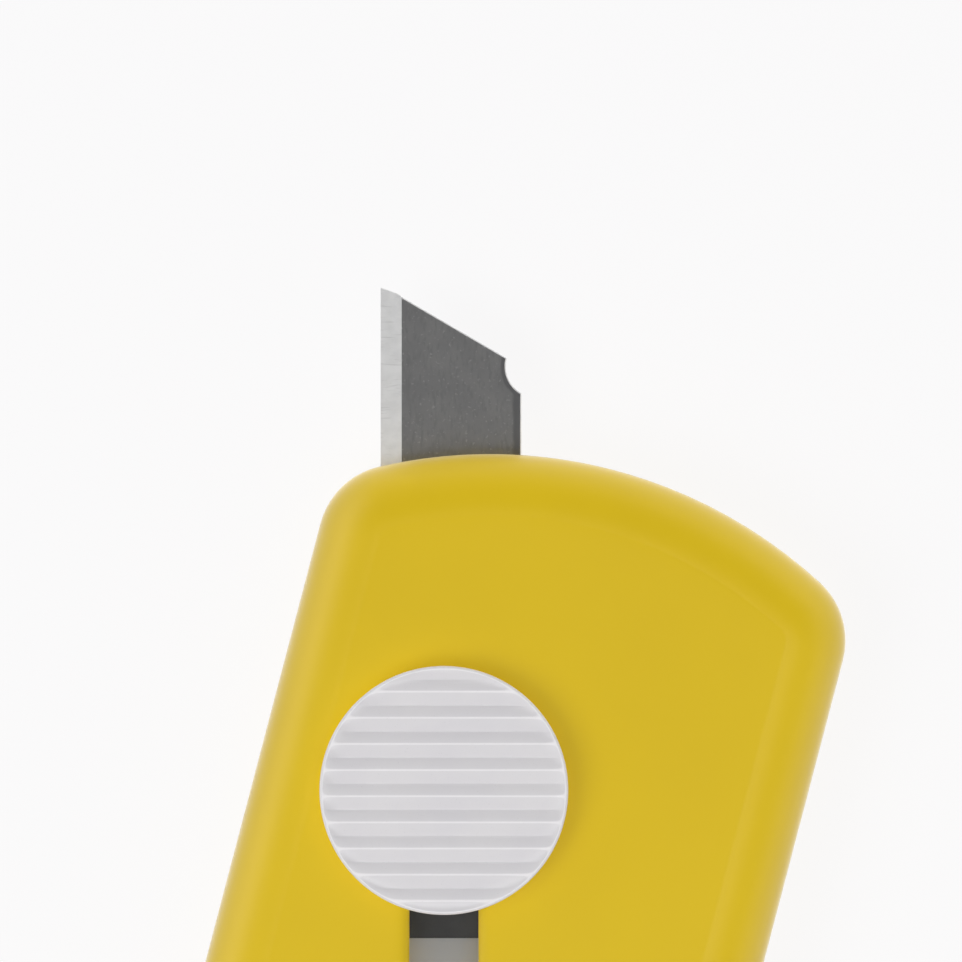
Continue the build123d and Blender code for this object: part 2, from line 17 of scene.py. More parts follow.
import bmesh
import bpy
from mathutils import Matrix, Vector

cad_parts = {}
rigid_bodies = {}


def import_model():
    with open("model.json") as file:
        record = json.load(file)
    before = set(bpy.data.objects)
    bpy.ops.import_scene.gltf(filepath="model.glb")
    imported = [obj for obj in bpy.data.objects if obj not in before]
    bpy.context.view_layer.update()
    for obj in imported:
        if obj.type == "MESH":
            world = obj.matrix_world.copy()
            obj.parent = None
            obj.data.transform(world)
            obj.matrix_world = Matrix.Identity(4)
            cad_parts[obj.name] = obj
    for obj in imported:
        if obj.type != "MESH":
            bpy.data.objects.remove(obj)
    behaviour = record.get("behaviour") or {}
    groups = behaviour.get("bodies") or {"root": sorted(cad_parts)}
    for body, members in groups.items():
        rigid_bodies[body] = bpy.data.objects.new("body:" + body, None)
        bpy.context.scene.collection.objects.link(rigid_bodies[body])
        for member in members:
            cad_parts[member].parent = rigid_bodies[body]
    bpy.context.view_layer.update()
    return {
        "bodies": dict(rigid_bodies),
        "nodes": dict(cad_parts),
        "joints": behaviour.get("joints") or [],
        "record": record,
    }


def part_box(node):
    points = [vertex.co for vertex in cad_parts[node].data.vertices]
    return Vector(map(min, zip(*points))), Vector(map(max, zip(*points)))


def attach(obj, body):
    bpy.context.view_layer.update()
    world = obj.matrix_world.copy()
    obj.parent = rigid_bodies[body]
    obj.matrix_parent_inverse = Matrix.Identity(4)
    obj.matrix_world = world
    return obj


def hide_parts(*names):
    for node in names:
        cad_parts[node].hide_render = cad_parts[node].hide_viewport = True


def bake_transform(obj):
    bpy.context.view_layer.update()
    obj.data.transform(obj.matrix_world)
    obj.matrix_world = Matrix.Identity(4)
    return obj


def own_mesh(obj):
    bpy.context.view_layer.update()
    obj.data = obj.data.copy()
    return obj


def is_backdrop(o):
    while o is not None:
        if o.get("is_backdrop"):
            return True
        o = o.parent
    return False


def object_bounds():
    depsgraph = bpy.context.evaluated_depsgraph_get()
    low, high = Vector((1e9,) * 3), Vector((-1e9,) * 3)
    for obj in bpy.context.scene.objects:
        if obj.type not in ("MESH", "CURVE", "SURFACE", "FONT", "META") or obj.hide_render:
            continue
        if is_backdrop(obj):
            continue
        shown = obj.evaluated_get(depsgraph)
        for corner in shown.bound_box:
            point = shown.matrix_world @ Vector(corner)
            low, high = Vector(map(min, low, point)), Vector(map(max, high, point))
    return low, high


LOG = logging.getLogger("knife")
MM = 0.001
SAME_POINT = 1e-7
TOUCHING = 1e-6
NOISE_ROUGHNESS = 0.55

Colour = tuple[int, int, int]
Pair = tuple[float, float]
Socket = bpy.types.NodeSocket
Piece = bpy.types.Object
Mesh = bmesh.types.BMesh


class Body(Enum):
    """The knife's moving groups, by their CAD names."""

    HANDLE = "handle"
    CARRIAGE = "carriage"
    BUTTON = "button"


class Lay(Enum):
    """Which way a finish's marks run, as the stretch of its pattern along X, Y and Z."""

    EVEN = (1.0, 1.0, 1.0)
    ALONG_X = (0.04, 1.0, 1.0)
    ALONG_Y = (1.0, 0.06, 1.0)
    SHORT_Y = (1.0, 0.28, 1.0)


# ---------------------------------------------------------------- node trees


class Graph:
    """Builds one node tree, a node and its links at a time."""

    def __init__(self, tree: bpy.types.NodeTree) -> None:
        """Keeps the tree that the nodes go into."""
        self.tree = tree

    def node(self, kind: str, inputs: dict[Any, Any] | None = None, **settings: Any) -> bpy.types.Node:
        """Adds a node.

        Args:
            kind: The node's type name.
            inputs: Values or output sockets, by input name or number.
            **settings: Properties of the node itself.

        Returns:
            The new node.
        """
        made = self.tree.nodes.new(kind)
        for name, value in settings.items():
            setattr(made, name, value)
        for key, value in (inputs or {}).items():
            if isinstance(value, Socket):
                self.tree.links.new(value, made.inputs[key])
            else:
                made.inputs[key].default_value = value
        return made

    def out(
        self, kind: str, inputs: dict[Any, Any] | None = None, output: int | str = 0, **settings: Any
    ) -> Socket:
        """Adds a node as node() does, and gives one of its outputs."""
        return self.node(kind, inputs, **settings).outputs[output]

    def math(self, operation: str, *values: Any) -> Socket:
        """Adds a Math node with its values in order."""
        return self.out("ShaderNodeMath", dict(enumerate(values)), operation=operation)

    def span(self, x: Socket, y: Socket) -> Socket:
        """Gives the length of a flat step (x, y)."""
        return self.math("SQRT", self.math("MULTIPLY_ADD", x, x, self.math("MULTIPLY", y, y)))

    def ramp(
        self, value: Socket, low: Any, high: Any, start: Any = 0.0, end: Any = 1.0, **settings: Any
    ) -> Socket:
        """Carries a value from one range to another, and holds it at both ends.

        Args:
            value: The value's socket.
            low: Where the first range starts.
            high: Where the first range ends.
            start: Where the second range starts.
            end: Where the second range ends.
            **settings: Properties of the node.

        Returns:
            The carried value.
        """
        inputs = {"Value": value, "From Min": low, "From Max": high, "To Min": start, "To Max": end}
        return self.out("ShaderNodeMapRange", inputs, **settings)

    def mix(self, share: Socket, first: Colour | Socket, second: Colour | Socket) -> Socket:
        """Mixes two colours.

        Args:
            share: How much of the second there is.
            first: The first colour, or its socket.
            second: The second colour, or its socket.

        Returns:
            The mixed colour.
        """
        sides = [linear(side) if isinstance(side, tuple) else side for side in (first, second)]
        return self.out("ShaderNodeMix", {"Factor": share, 6: sides[0], 7: sides[1]}, 2, data_type="RGBA")


def linear(colour: Colour) -> tuple[float, ...]:
    """Turns a display colour of 0 to 255 into the linear and opaque one that a node takes.

    Args:
        colour: Display red, green and blue.

    Returns:
        The colour as the renderer counts it.
    """

    def channel(value: int) -> float:
        """One channel's linear value."""
        share = value / 255
        return share / 12.92 if share <= 0.04045 else ((share + 0.055) / 1.055) ** 2.4

    return *(channel(value) for value in colour), 1.0


# ---------------------------------------------------------------- finishes


@dataclass(frozen=True)
class Finish:
    """A surface finish: two tones in a blotch, a roughness range and a fine grain.

    The blotch is the slow change of tone across a piece, and the grain the fine relief, which
    may run one way, as rolling or grinding marks do.
    """

    name: str
    tone: Colour
    other_tone: Colour
    metallic: float = 0.0
    roughness: Pair = (0.4, 0.5)
    blotch_mm: float = 6.0
    blotch_reach: Pair = (0.35, 0.65)
    grain_mm: float = 0.25
    grain_reach: Pair = (0.3, 0.7)
    grain_depth_mm: float = 0.004
    lay: Lay = Lay.EVEN
    sheen: float = 0.0
    sheen_roughness: float = 0.3
    soften_mm: float = 0.0
    scuffs: float = 0.0
    scuff_turn: tuple[float, float, float] = (0.2, 0.1, 0.9)
    scuffs_per_metre: tuple[float, float, float] = (900.0, 60.0, 400.0)
    scuff_reach: Pair = (0.68, 0.78)

    def material(self) -> bpy.types.Material:
        """Returns the finish's material, made once and shared after that."""
        known = bpy.data.materials.get(self.name)
        if known:
            return known
        made = bpy.data.materials.new(self.name)
        made.use_nodes = True
        made.node_tree.nodes.clear()
        graph = Graph(made.node_tree)
        shader = graph.node(
            "ShaderNodeBsdfPrincipled",
            {"Metallic": self.metallic, "Sheen Weight": self.sheen, "Sheen Roughness": self.sheen_roughness},
        )
        self.paint(graph, shader, graph.out("ShaderNodeTexCoord", output="Object"))
        graph.node("ShaderNodeOutputMaterial", {"Surface": shader.outputs["BSDF"]})
        return made

    def paint(self, graph: Graph, shader: bpy.types.Node, place: Socket) -> None:
        """Drives the shader's colour, roughness and relief.

        Args:
            graph: The material's tree.
            shader: Its Principled node.
            place: The piece's own coordinates.
        """
        grain = self.noise(graph, place, self.grain_mm, self.lay, 2.0)
        worn = graph.math("MAXIMUM", grain, self.scratches(graph, place)) if self.scuffs else grain
        relief = {"Height": grain, "Distance": self.grain_depth_mm * MM, "Strength": 1.0}
        if self.soften_mm:
            relief["Normal"] = graph.out("ShaderNodeBevel", {"Radius": self.soften_mm * MM}, samples=8)
        for name, value in (
            ("Base Color", self.colour(graph, place)),
            ("Roughness", graph.ramp(worn, *self.grain_reach, *self.roughness)),
            ("Normal", graph.out("ShaderNodeBump", relief)),
        ):
            graph.tree.links.new(value, shader.inputs[name])

    def colour(self, graph: Graph, place: Socket) -> Socket:
        """Mixes the two tones by the blotch.

        Args:
            graph: The material's tree.
            place: The piece's own coordinates.

        Returns:
            The colour.
        """
        blotch = self.noise(graph, place, self.blotch_mm, Lay.EVEN, 3.0)
        return graph.mix(graph.ramp(blotch, *self.blotch_reach), self.tone, self.other_tone)

    def noise(self, graph: Graph, place: Socket, size_mm: float, lay: Lay, detail: float) -> Socket:
        """Adds a noise whose features are about one size.

        Args:
            graph: The material's tree.
            place: The piece's own coordinates.
            size_mm: The features' size.
            lay: Which way they run.
            detail: How many finer layers there are.

        Returns:
            The noise, from 0 to 1.
        """
        per_metre = 1 / (size_mm * MM)
        scale = tuple(per_metre * part for part in lay.value)
        scaled = graph.out("ShaderNodeMapping", {"Vector": place, "Scale": scale})
        inputs = {"Vector": scaled, "Scale": 1.0, "Detail": detail, "Roughness": NOISE_ROUGHNESS}
        return graph.out("ShaderNodeTexNoise", inputs)

    def scratches(self, graph: Graph, place: Socket) -> Socket:
        """Adds sparse hair scratches, as thin lines where a stretched noise peaks.

        Args:
            graph: The material's tree.
            place: The piece's own coordinates.

        Returns:
            The scratches, 0 where there are none.
        """
        inputs = {"Vector": place, "Rotation": self.scuff_turn, "Scale": self.scuffs_per_metre}
        turned = graph.out("ShaderNodeMapping", inputs)
        lines = graph.out("ShaderNodeTexNoise", {"Vector": turned, "Scale": 1.0, "Detail": 1.0})
        return graph.ramp(lines, *self.scuff_reach, 0.0, self.scuffs)


@dataclass(frozen=True)
class RolledSteel(Finish):
    """Rolled strip: short marks along it, small bright nicks, and a dull band at its sheared edges."""

    spine_mm: float = 3.0
    nick_centre_mm: Pair = (3.96, 40.46)
    nick_radius_mm: float = 1.96
    nick_narrows: float = 1.6
    band_mm: float = 0.56
    band_fade_mm: float = 0.2
    fray_mm: float = 0.24
    fray_size_mm: float = 0.3
    band_tone: Colour = (150, 150, 152)
    mark_mm: float = 0.18
    mark_reach: Pair = (0.50, 0.70)
    mark_tone: Colour = (171, 171, 172)
    bright_mm: float = 0.21
    bright_reach: Pair = (0.62, 0.72)
    bright_tone: Colour = (203, 203, 203)

    def colour(self, graph: Graph, place: Socket) -> Socket:
        """Adds the marks, the nicks and the dull band to the two tones.

        Args:
            graph: The material's tree.
            place: The piece's own coordinates.

        Returns:
            The colour.
        """
        base = Finish.colour(self, graph, place)
        marks = self.noise(graph, place, self.mark_mm, Lay.SHORT_Y, 1.5)
        base = graph.mix(graph.ramp(marks, *self.mark_reach), base, self.mark_tone)
        nicks = self.noise(graph, place, self.bright_mm, Lay.EVEN, 2.0)
        base = graph.mix(graph.ramp(nicks, *self.bright_reach), base, self.bright_tone)
        return graph.mix(self.band(graph, place), base, self.band_tone)

    def band(self, graph: Graph, place: Socket) -> Socket:
        """Finds how near a point is to the spine or to the nick's edge.

        Args:
            graph: The material's tree.
            place: The piece's own coordinates.

        Returns:
            1 at the edge and 0 beyond the band.
        """
        parts = graph.node("ShaderNodeSeparateXYZ", {0: place}).outputs
        to_spine = graph.math("SUBTRACT", self.spine_mm * MM, parts[0])
        aside = graph.math("SUBTRACT", parts[0], self.nick_centre_mm[0] * MM)
        along = graph.math("SUBTRACT", parts[1], self.nick_centre_mm[1] * MM)
        past_nick = graph.math("SUBTRACT", graph.span(aside, along), self.nick_radius_mm * MM)
        nearest = graph.math("MINIMUM", to_spine, graph.math("MULTIPLY", past_nick, self.nick_narrows))
        wander = self.noise(graph, place, self.fray_size_mm, Lay.SHORT_Y, 2.0)
        frayed = graph.math("MULTIPLY_ADD", wander, self.fray_mm * MM, nearest)
        return graph.ramp(frayed, self.band_mm * MM, (self.band_mm + self.band_fade_mm) * MM, 1.0, 0.0)


@dataclass(frozen=True)
class GroundSteel(Finish):
    """Ground steel with sparse darker grinding lines across it."""

    line_mm: float = 0.15
    line_reach: Pair = (0.62, 0.76)
    line_tone: Colour = (229, 229, 229)

    def colour(self, graph: Graph, place: Socket) -> Socket:
        """Adds the grinding lines to the two tones.

        Args:
            graph: The material's tree.
            place: The piece's own coordinates.

        Returns:
            The colour.
        """
        base = Finish.colour(self, graph, place)
        lines = self.noise(graph, place, self.line_mm, Lay.ALONG_X, 1.0)
        return graph.mix(graph.ramp(lines, *self.line_reach), base, self.line_tone)


@dataclass(frozen=True)
class CrestHighlightPlastic(Finish):
    """Moulded plastic with a painted highlight: its tone is lighter where it stands highest, on the rib
    crests.
    """

    top_mm: float = 11.45
    highlight_band_mm: float = 0.014
    # Tone of the painted highlight on the rib crests.
    painted_highlight_tone: Colour = (229, 227, 229)

    def colour(self, graph: Graph, place: Socket) -> Socket:
        """Paints a highlight onto the crests by lightening the two tones near the top.

        Args:
            graph: The material's tree.
            place: The piece's own coordinates.

        Returns:
            The colour.
        """
        base = Finish.colour(self, graph, place)
        # Painted highlight: the tone lightens over the topmost few hundredths of a millimetre, where the
        # crests catch light.
        height = graph.out("ShaderNodeSeparateXYZ", {0: place}, 2)
        share = graph.ramp(height, (self.top_mm - self.highlight_band_mm) * MM, self.top_mm * MM)
        return graph.mix(share, base, self.painted_highlight_tone)


SHELL_YELLOW = Finish(
    "shell_yellow", (214, 182, 11), (211, 179, 11), roughness=(0.40, 0.48), blotch_mm=14.0,
    grain_mm=0.12, grain_depth_mm=0.0012, sheen=0.75, soften_mm=1.4, scuffs=0.6,
)
BUTTON_GREY = CrestHighlightPlastic(
    "button_grey", (214, 212, 214), (211, 209, 212), roughness=(0.27, 0.35), blotch_mm=4.0,
    grain_mm=0.10, grain_depth_mm=0.0012, scuffs=0.5,
)
BLADE_FLAT = RolledSteel(
    "blade_flat", (184, 184, 184), (176, 176, 177), metallic=1.0, roughness=(0.36, 0.44),
    blotch_mm=1.6, grain_mm=0.12, grain_depth_mm=0.0006, lay=Lay.SHORT_Y,
)
BLADE_GROUND = GroundSteel(
    "blade_ground", (248, 248, 248), (240, 240, 240), metallic=0.6, roughness=(0.30, 0.38),
    blotch_mm=0.8, grain_mm=0.10, grain_depth_mm=0.0006, lay=Lay.ALONG_X,
)
SHEET_STEEL = Finish(
    "sheet_steel", (205, 207, 208), (192, 194, 196), metallic=1.0, roughness=(0.25, 0.38),
    blotch_mm=3.0, grain_mm=0.15, grain_depth_mm=0.001, lay=Lay.ALONG_Y,
)
SPRING_STEEL = Finish(
    "spring_steel", (190, 192, 196), (172, 174, 180), metallic=1.0, roughness=(0.20, 0.34),
    blotch_mm=1.5, grain_mm=0.08, grain_depth_mm=0.0008,
)
ZINC = Finish(
    "zinc_plate", (206, 209, 214), (186, 190, 199), metallic=1.0, roughness=(0.22, 0.36),
    blotch_mm=0.9, grain_mm=0.10, grain_depth_mm=0.002,
)
NICKEL = Finish(
    "nickel_plate", (222, 219, 210), (206, 203, 196), metallic=1.0, roughness=(0.14, 0.26),
    blotch_mm=2.0, grain_mm=0.15, grain_depth_mm=0.0012, scuffs=0.6,
)
BRASS = Finish(
    "turned_brass", (214, 182, 110), (196, 162, 92), metallic=1.0, roughness=(0.22, 0.36),
    blotch_mm=1.0, grain_mm=0.10, grain_depth_mm=0.0015,
)
ACETAL = Finish(
    "natural_acetal", (228, 226, 220), (220, 218, 211), roughness=(0.34, 0.44),
    blotch_mm=3.0, grain_mm=0.12, grain_depth_mm=0.0015,
)
DARK_PLASTIC = Finish(
    "dark_plastic", (52, 53, 55), (44, 45, 47), roughness=(0.45, 0.58),
    blotch_mm=3.0, grain_mm=0.15, grain_depth_mm=0.003,
)
CAP_PLASTIC = Finish(
    "cap_plastic", (92, 92, 94), (84, 84, 86), roughness=(0.50, 0.62),
    blotch_mm=2.5, grain_mm=0.12, grain_depth_mm=0.004, scuffs=0.7,
)
RUBBER = Finish(
    "black_rubber", (34, 34, 34), (28, 28, 28), roughness=(0.68, 0.80),
    blotch_mm=2.0, grain_mm=0.10, grain_depth_mm=0.004,
)


# ---------------------------------------------------------------- meshes


def mesh_object(name: str, built: Mesh, finishes: Sequence[Finish]) -> Piece:
    """Turns a finished bmesh into an object at the origin.

    Args:
        name: The piece's name.
        built: Its mesh, which is freed.
        finishes: The finishes of its material slots, in order.

    Returns:
        The new object.
    """
    data = bpy.data.meshes.new(name)
    built.to_mesh(data)
    built.free()
    for finish in finishes:
        data.materials.append(finish.material())
    made = bpy.data.objects.new(name, data)
    bpy.context.scene.collection.objects.link(made)
    return made


def close_up(built: Mesh) -> None:
    """Merges a mesh's doubles and points its faces outwards.

    Args:
        built: The mesh.
    """
    bmesh.ops.remove_doubles(built, verts=built.verts, dist=SAME_POINT)
    bmesh.ops.dissolve_degenerate(built, edges=built.edges, dist=SAME_POINT)
    bmesh.ops.recalc_face_normals(built, faces=built.faces)


def shade(piece: Piece, sharp_degrees: float) -> None:
    """Smooths a piece's shading except across its sharp edges.

    Args:
        piece: The piece.
        sharp_degrees: An edge that turns more than this stays sharp.
    """
    piece.data.shade_smooth()
    piece.data.set_sharp_from_angle(angle=math.radians(sharp_degrees))


def arc(
    centre: Pair, radius: float, start: float, end: float, steps: int
) -> list[Pair]:
    """Points along an arc in a plane.

    Args:
        centre: Its centre.
        radius: Its radius.
        start: The first point's angle in degrees.
        end: The last point's angle in degrees.
        steps: The number of chords.

    Returns:
        The points, both ends included.
    """
    points = []
    for step in range(steps + 1):
        angle = math.radians(start + (end - start) * step / steps)
        points.append((centre[0] + radius * math.cos(angle), centre[1] + radius * math.sin(angle)))
    return points


def bridge(
    built: Mesh, lower: Sequence[bmesh.types.BMVert], upper: Sequence[bmesh.types.BMVert]
) -> None:
    """Joins two rings of the same length with quads.

    Args:
        built: The mesh.
        lower: One ring.
        upper: The other.
    """
    for step in range(len(lower)):
        after = (step + 1) % len(lower)
        built.faces.new((lower[step], lower[after], upper[after], upper[step]))


def skin(rings: Sequence[Sequence[Vector]], built: Mesh, capped: bool = False) -> None:
    """Joins rings of equal length into a tube.

    Args:
        rings: The rings, each a closed run of points.
        built: The mesh that the tube goes into.
        capped: Whether a face closes each end.
    """
    made = [[built.verts.new(point) for point in ring] for ring in rings]
    for lower, upper in zip(made, made[1:]):
        bridge(built, lower, upper)
    if capped:
        built.faces.new(made[0])
        built.faces.new(made[-1])


def level_ring(radii: Sequence[float], height: float, centre: Vector | None = None) -> list[Vector]:
    """A level ring of points about a vertical axis.

    Args:
        radii: How far out each point is, in order round the axis.
        height: The ring's height above the centre.
        centre: A point on the axis, or None for the origin.

    Returns:
        Its points, anticlockwise.
    """
    start = centre or Vector()
    points = []
    for step, radius in enumerate(radii):
        turn = math.tau * step / len(radii)
        points.append(start + Vector((radius * math.cos(turn), radius * math.sin(turn), height)))
    return points


def lathe(profile: Sequence[Pair], centre: Vector, sides: int) -> Mesh:
    """Turns a profile of (radius, height) about a vertical axis.

    Args:
        profile: The profile, from one pole to the other, or round a ring's section and back.
        centre: A point on the axis; heights count from it.
        sides: How many steps a turn has.

    Returns:
        The mesh.
    """
    built = bmesh.new()
    skin([level_ring([radius] * sides, height, centre) for radius, height in profile], built)
    close_up(built)
    return built


def rounded_rectangle(width: float, length: float, corner: float, steps: int) -> list[Pair]:
    """The outline of a rectangle with round corners, about the origin.

    Args:
        width: Its size along X.
        length: Its size along Y.
        corner: The corners' radius.
        steps: Chords in each corner.

    Returns:
        Its points, anticlockwise.
    """
    points = []
    reach_x, reach_y = width / 2 - corner, length / 2 - corner
    for turn, (side_x, side_y) in enumerate(((1, 1), (-1, 1), (-1, -1), (1, -1))):
        points += arc((side_x * reach_x, side_y * reach_y), corner, 90 * turn, 90 * turn + 90, steps)
    return points


def plain_mesh(piece: Piece) -> None:
    """Keeps what a piece's modifiers make as its plain mesh, and removes them."""
    depsgraph = bpy.context.evaluated_depsgraph_get()
    result = bpy.data.meshes.new_from_object(piece.evaluated_get(depsgraph))
    piece.modifiers.clear()
    result.name, piece.data = piece.name, result


def cut(piece: Piece, cutter: Piece) -> None:
    """Cuts one closed mesh out of another and removes the cutter.

    Args:
        piece: What is cut.
        cutter: What it loses.
    """
    modifier = piece.modifiers.new("cut", "BOOLEAN")
    modifier.object = cutter
    modifier.solver = "EXACT"
    modifier.operation = "DIFFERENCE"
    plain_mesh(piece)
    bpy.data.objects.remove(cutter)


def drill(piece: Piece, foot: Vector, radius: float, tall: float, sides: int) -> None:
    """Cuts an upright round hole.

    Args:
        piece: What is cut.
        foot: The middle of the drill's lower end.
        radius: The hole's radius.
        tall: The drill's height.
        sides: How many sides the hole has.
    """
    profile = [(0, 0), (radius, 0), (radius, tall), (0, tall)]
    cut(piece, mesh_object("drill", lathe(profile, foot, sides), []))


def foot_of(low: Vector, high: Vector) -> Vector:
    """The middle of a box's underside."""
    return Vector(((low.x + high.x) / 2, (low.y + high.y) / 2, low.z))


def islands(piece: Piece) -> list[tuple[Vector, Vector]]:
    """Finds a CAD node's separate solids.

    Args:
        piece: The node's object.

    Returns:
        The lowest and highest corner of each, sorted by place.
    """
    built = bmesh.new()
    built.from_mesh(piece.data)
    bmesh.ops.remove_doubles(built, verts=built.verts, dist=TOUCHING)
    left = set(built.verts)
    found = []
    while left:
        group = [left.pop()]
        for vert in group:
            for edge in vert.link_edges:
                other = edge.other_vert(vert)
                if other in left:
                    left.discard(other)
                    group.append(other)
        spots = [vert.co for vert in group]
        low = Vector(min(spot[axis] for spot in spots) for axis in range(3))
        high = Vector(max(spot[axis] for spot in spots) for axis in range(3))
        found.append((low, high))
    built.free()
    return sorted(found, key=lambda pair: (round(pair[0].y, 5), round(pair[0].x, 5)))


# ---------------------------------------------------------------- geometry nodes


class Growth:
    """A Geometry Nodes tree that ends as a plain mesh."""

    def __init__(self, name: str) -> None:
        """Starts an empty tree of that name, with a geometry output."""
        self.name = name
        self.tree = bpy.data.node_groups.new(name, "GeometryNodeTree")
        self.tree.interface.new_socket("Geometry", in_out="OUTPUT", socket_type="NodeSocketGeometry")
        self.graph = Graph(self.tree)
        self.values: dict[str, Any] = {}

    def inputs(self, **values: Any) -> dict[str, Socket]:
        """Args:
            **values: Each input's value: a float, an int, a vector or an object.

        Returns:
            The sockets that carry them inside the tree.
        """
        for name, value in values.items():
            kind = "NodeSocketFloat"
            if isinstance(value, Piece):
                kind = "NodeSocketObject"
            elif isinstance(value, int):
                kind = "NodeSocketInt"
            elif isinstance(value, Vector):
                kind = "NodeSocketVector"
            socket = self.tree.interface.new_socket(name, in_out="INPUT", socket_type=kind)
            self.values[socket.identifier] = value
        entry = self.graph.node("NodeGroupInput")
        return {name: entry.outputs[name] for name in values}

    def finish(self, geometry: Socket, finish: Finish) -> Piece:
        """Closes the tree, runs it once and keeps the result as a plain mesh.

        Args:
            geometry: What the tree made.
            finish: The finish that its faces get.

        Returns:
            The new object, with no modifier.
        """
        real = self.graph.out("GeometryNodeRealizeInstances", {"Geometry": geometry})
        dressed = self.graph.out("GeometryNodeSetMaterial", {"Geometry": real, "Material": finish.material()})
        self.graph.node("NodeGroupOutput", {"Geometry": dressed})
        piece = bpy.data.objects.new(self.name, bpy.data.meshes.new(self.name + "_seed"))
        bpy.context.scene.collection.objects.link(piece)
        modifier = piece.modifiers.new("growth", "NODES")
        modifier.node_group = self.tree
        for identifier, value in self.values.items():
            modifier[identifier] = value
        plain_mesh(piece)
        return piece


def scatter(name: str, master: Piece, places: Sequence[Vector], finish: Finish) -> Piece:
    """Sets a copy of one piece at each place.

    Args:
        name: The new piece's name.
        master: The piece at the origin, which is removed afterwards.
        places: Where the copies go.
        finish: Their finish.

    Returns:
        All copies as one plain mesh.
    """
    growth = Growth(name)
    graph, ins = growth.graph, growth.inputs(Piece=master)
    spots = [graph.out("GeometryNodePoints", {"Position": place}) for place in places]
    joined = graph.node("GeometryNodeJoinGeometry")
    for spot in reversed(spots):
        growth.tree.links.new(spot, joined.inputs[0])
    shape = graph.out(
        "GeometryNodeObjectInfo", {"Object": ins["Piece"]}, "Geometry", transform_space="ORIGINAL"
    )
    placed = graph.out("GeometryNodeInstanceOnPoints", {"Points": joined.outputs[0], "Instance": shape})
    made = growth.finish(placed, finish)
    bpy.data.objects.remove(master)
    return made


# ---------------------------------------------------------------- sub-assemblies


@dataclass
class Assembly:
    """A group of pieces that are built and dressed together."""

    frame: dict[str, Any]

    def dress(self, node: str, finish: Finish) -> None:
        """Gives a CAD node that keeps its shape a finish.

        Args:
            node: The node's name.
            finish: Its finish.
        """
        piece = self.frame["nodes"][node]
        piece.data.materials.clear()
        piece.data.materials.append(finish.material())
        LOG.info("%s keeps its shape, in %s", node, finish.name)

    def seat(self, piece: Piece, body: Body, slot: str, node: str) -> None:
        """Puts a rebuilt piece on its body, in its CAD node's stead.

        Args:
            piece: The rebuilt piece.
            body: What it moves with.
            slot: The record's material slot.
            node: The CAD node that it stands for.
        """
        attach(piece, body.value)
        self.stand_in(piece, slot, node)

    def stand_in(self, piece: Piece, slot: str, node: str) -> None:
        """Hides a CAD node behind the piece that stands for it.

        Args:
            piece: The rebuilt piece, whose motion is already set.
            slot: The record's material slot. Not used.
            node: The CAD node that it stands for.
        """
        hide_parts(node)
        LOG.info("%s stands for %s, %d faces", piece.name, node, len(piece.data.polygons))


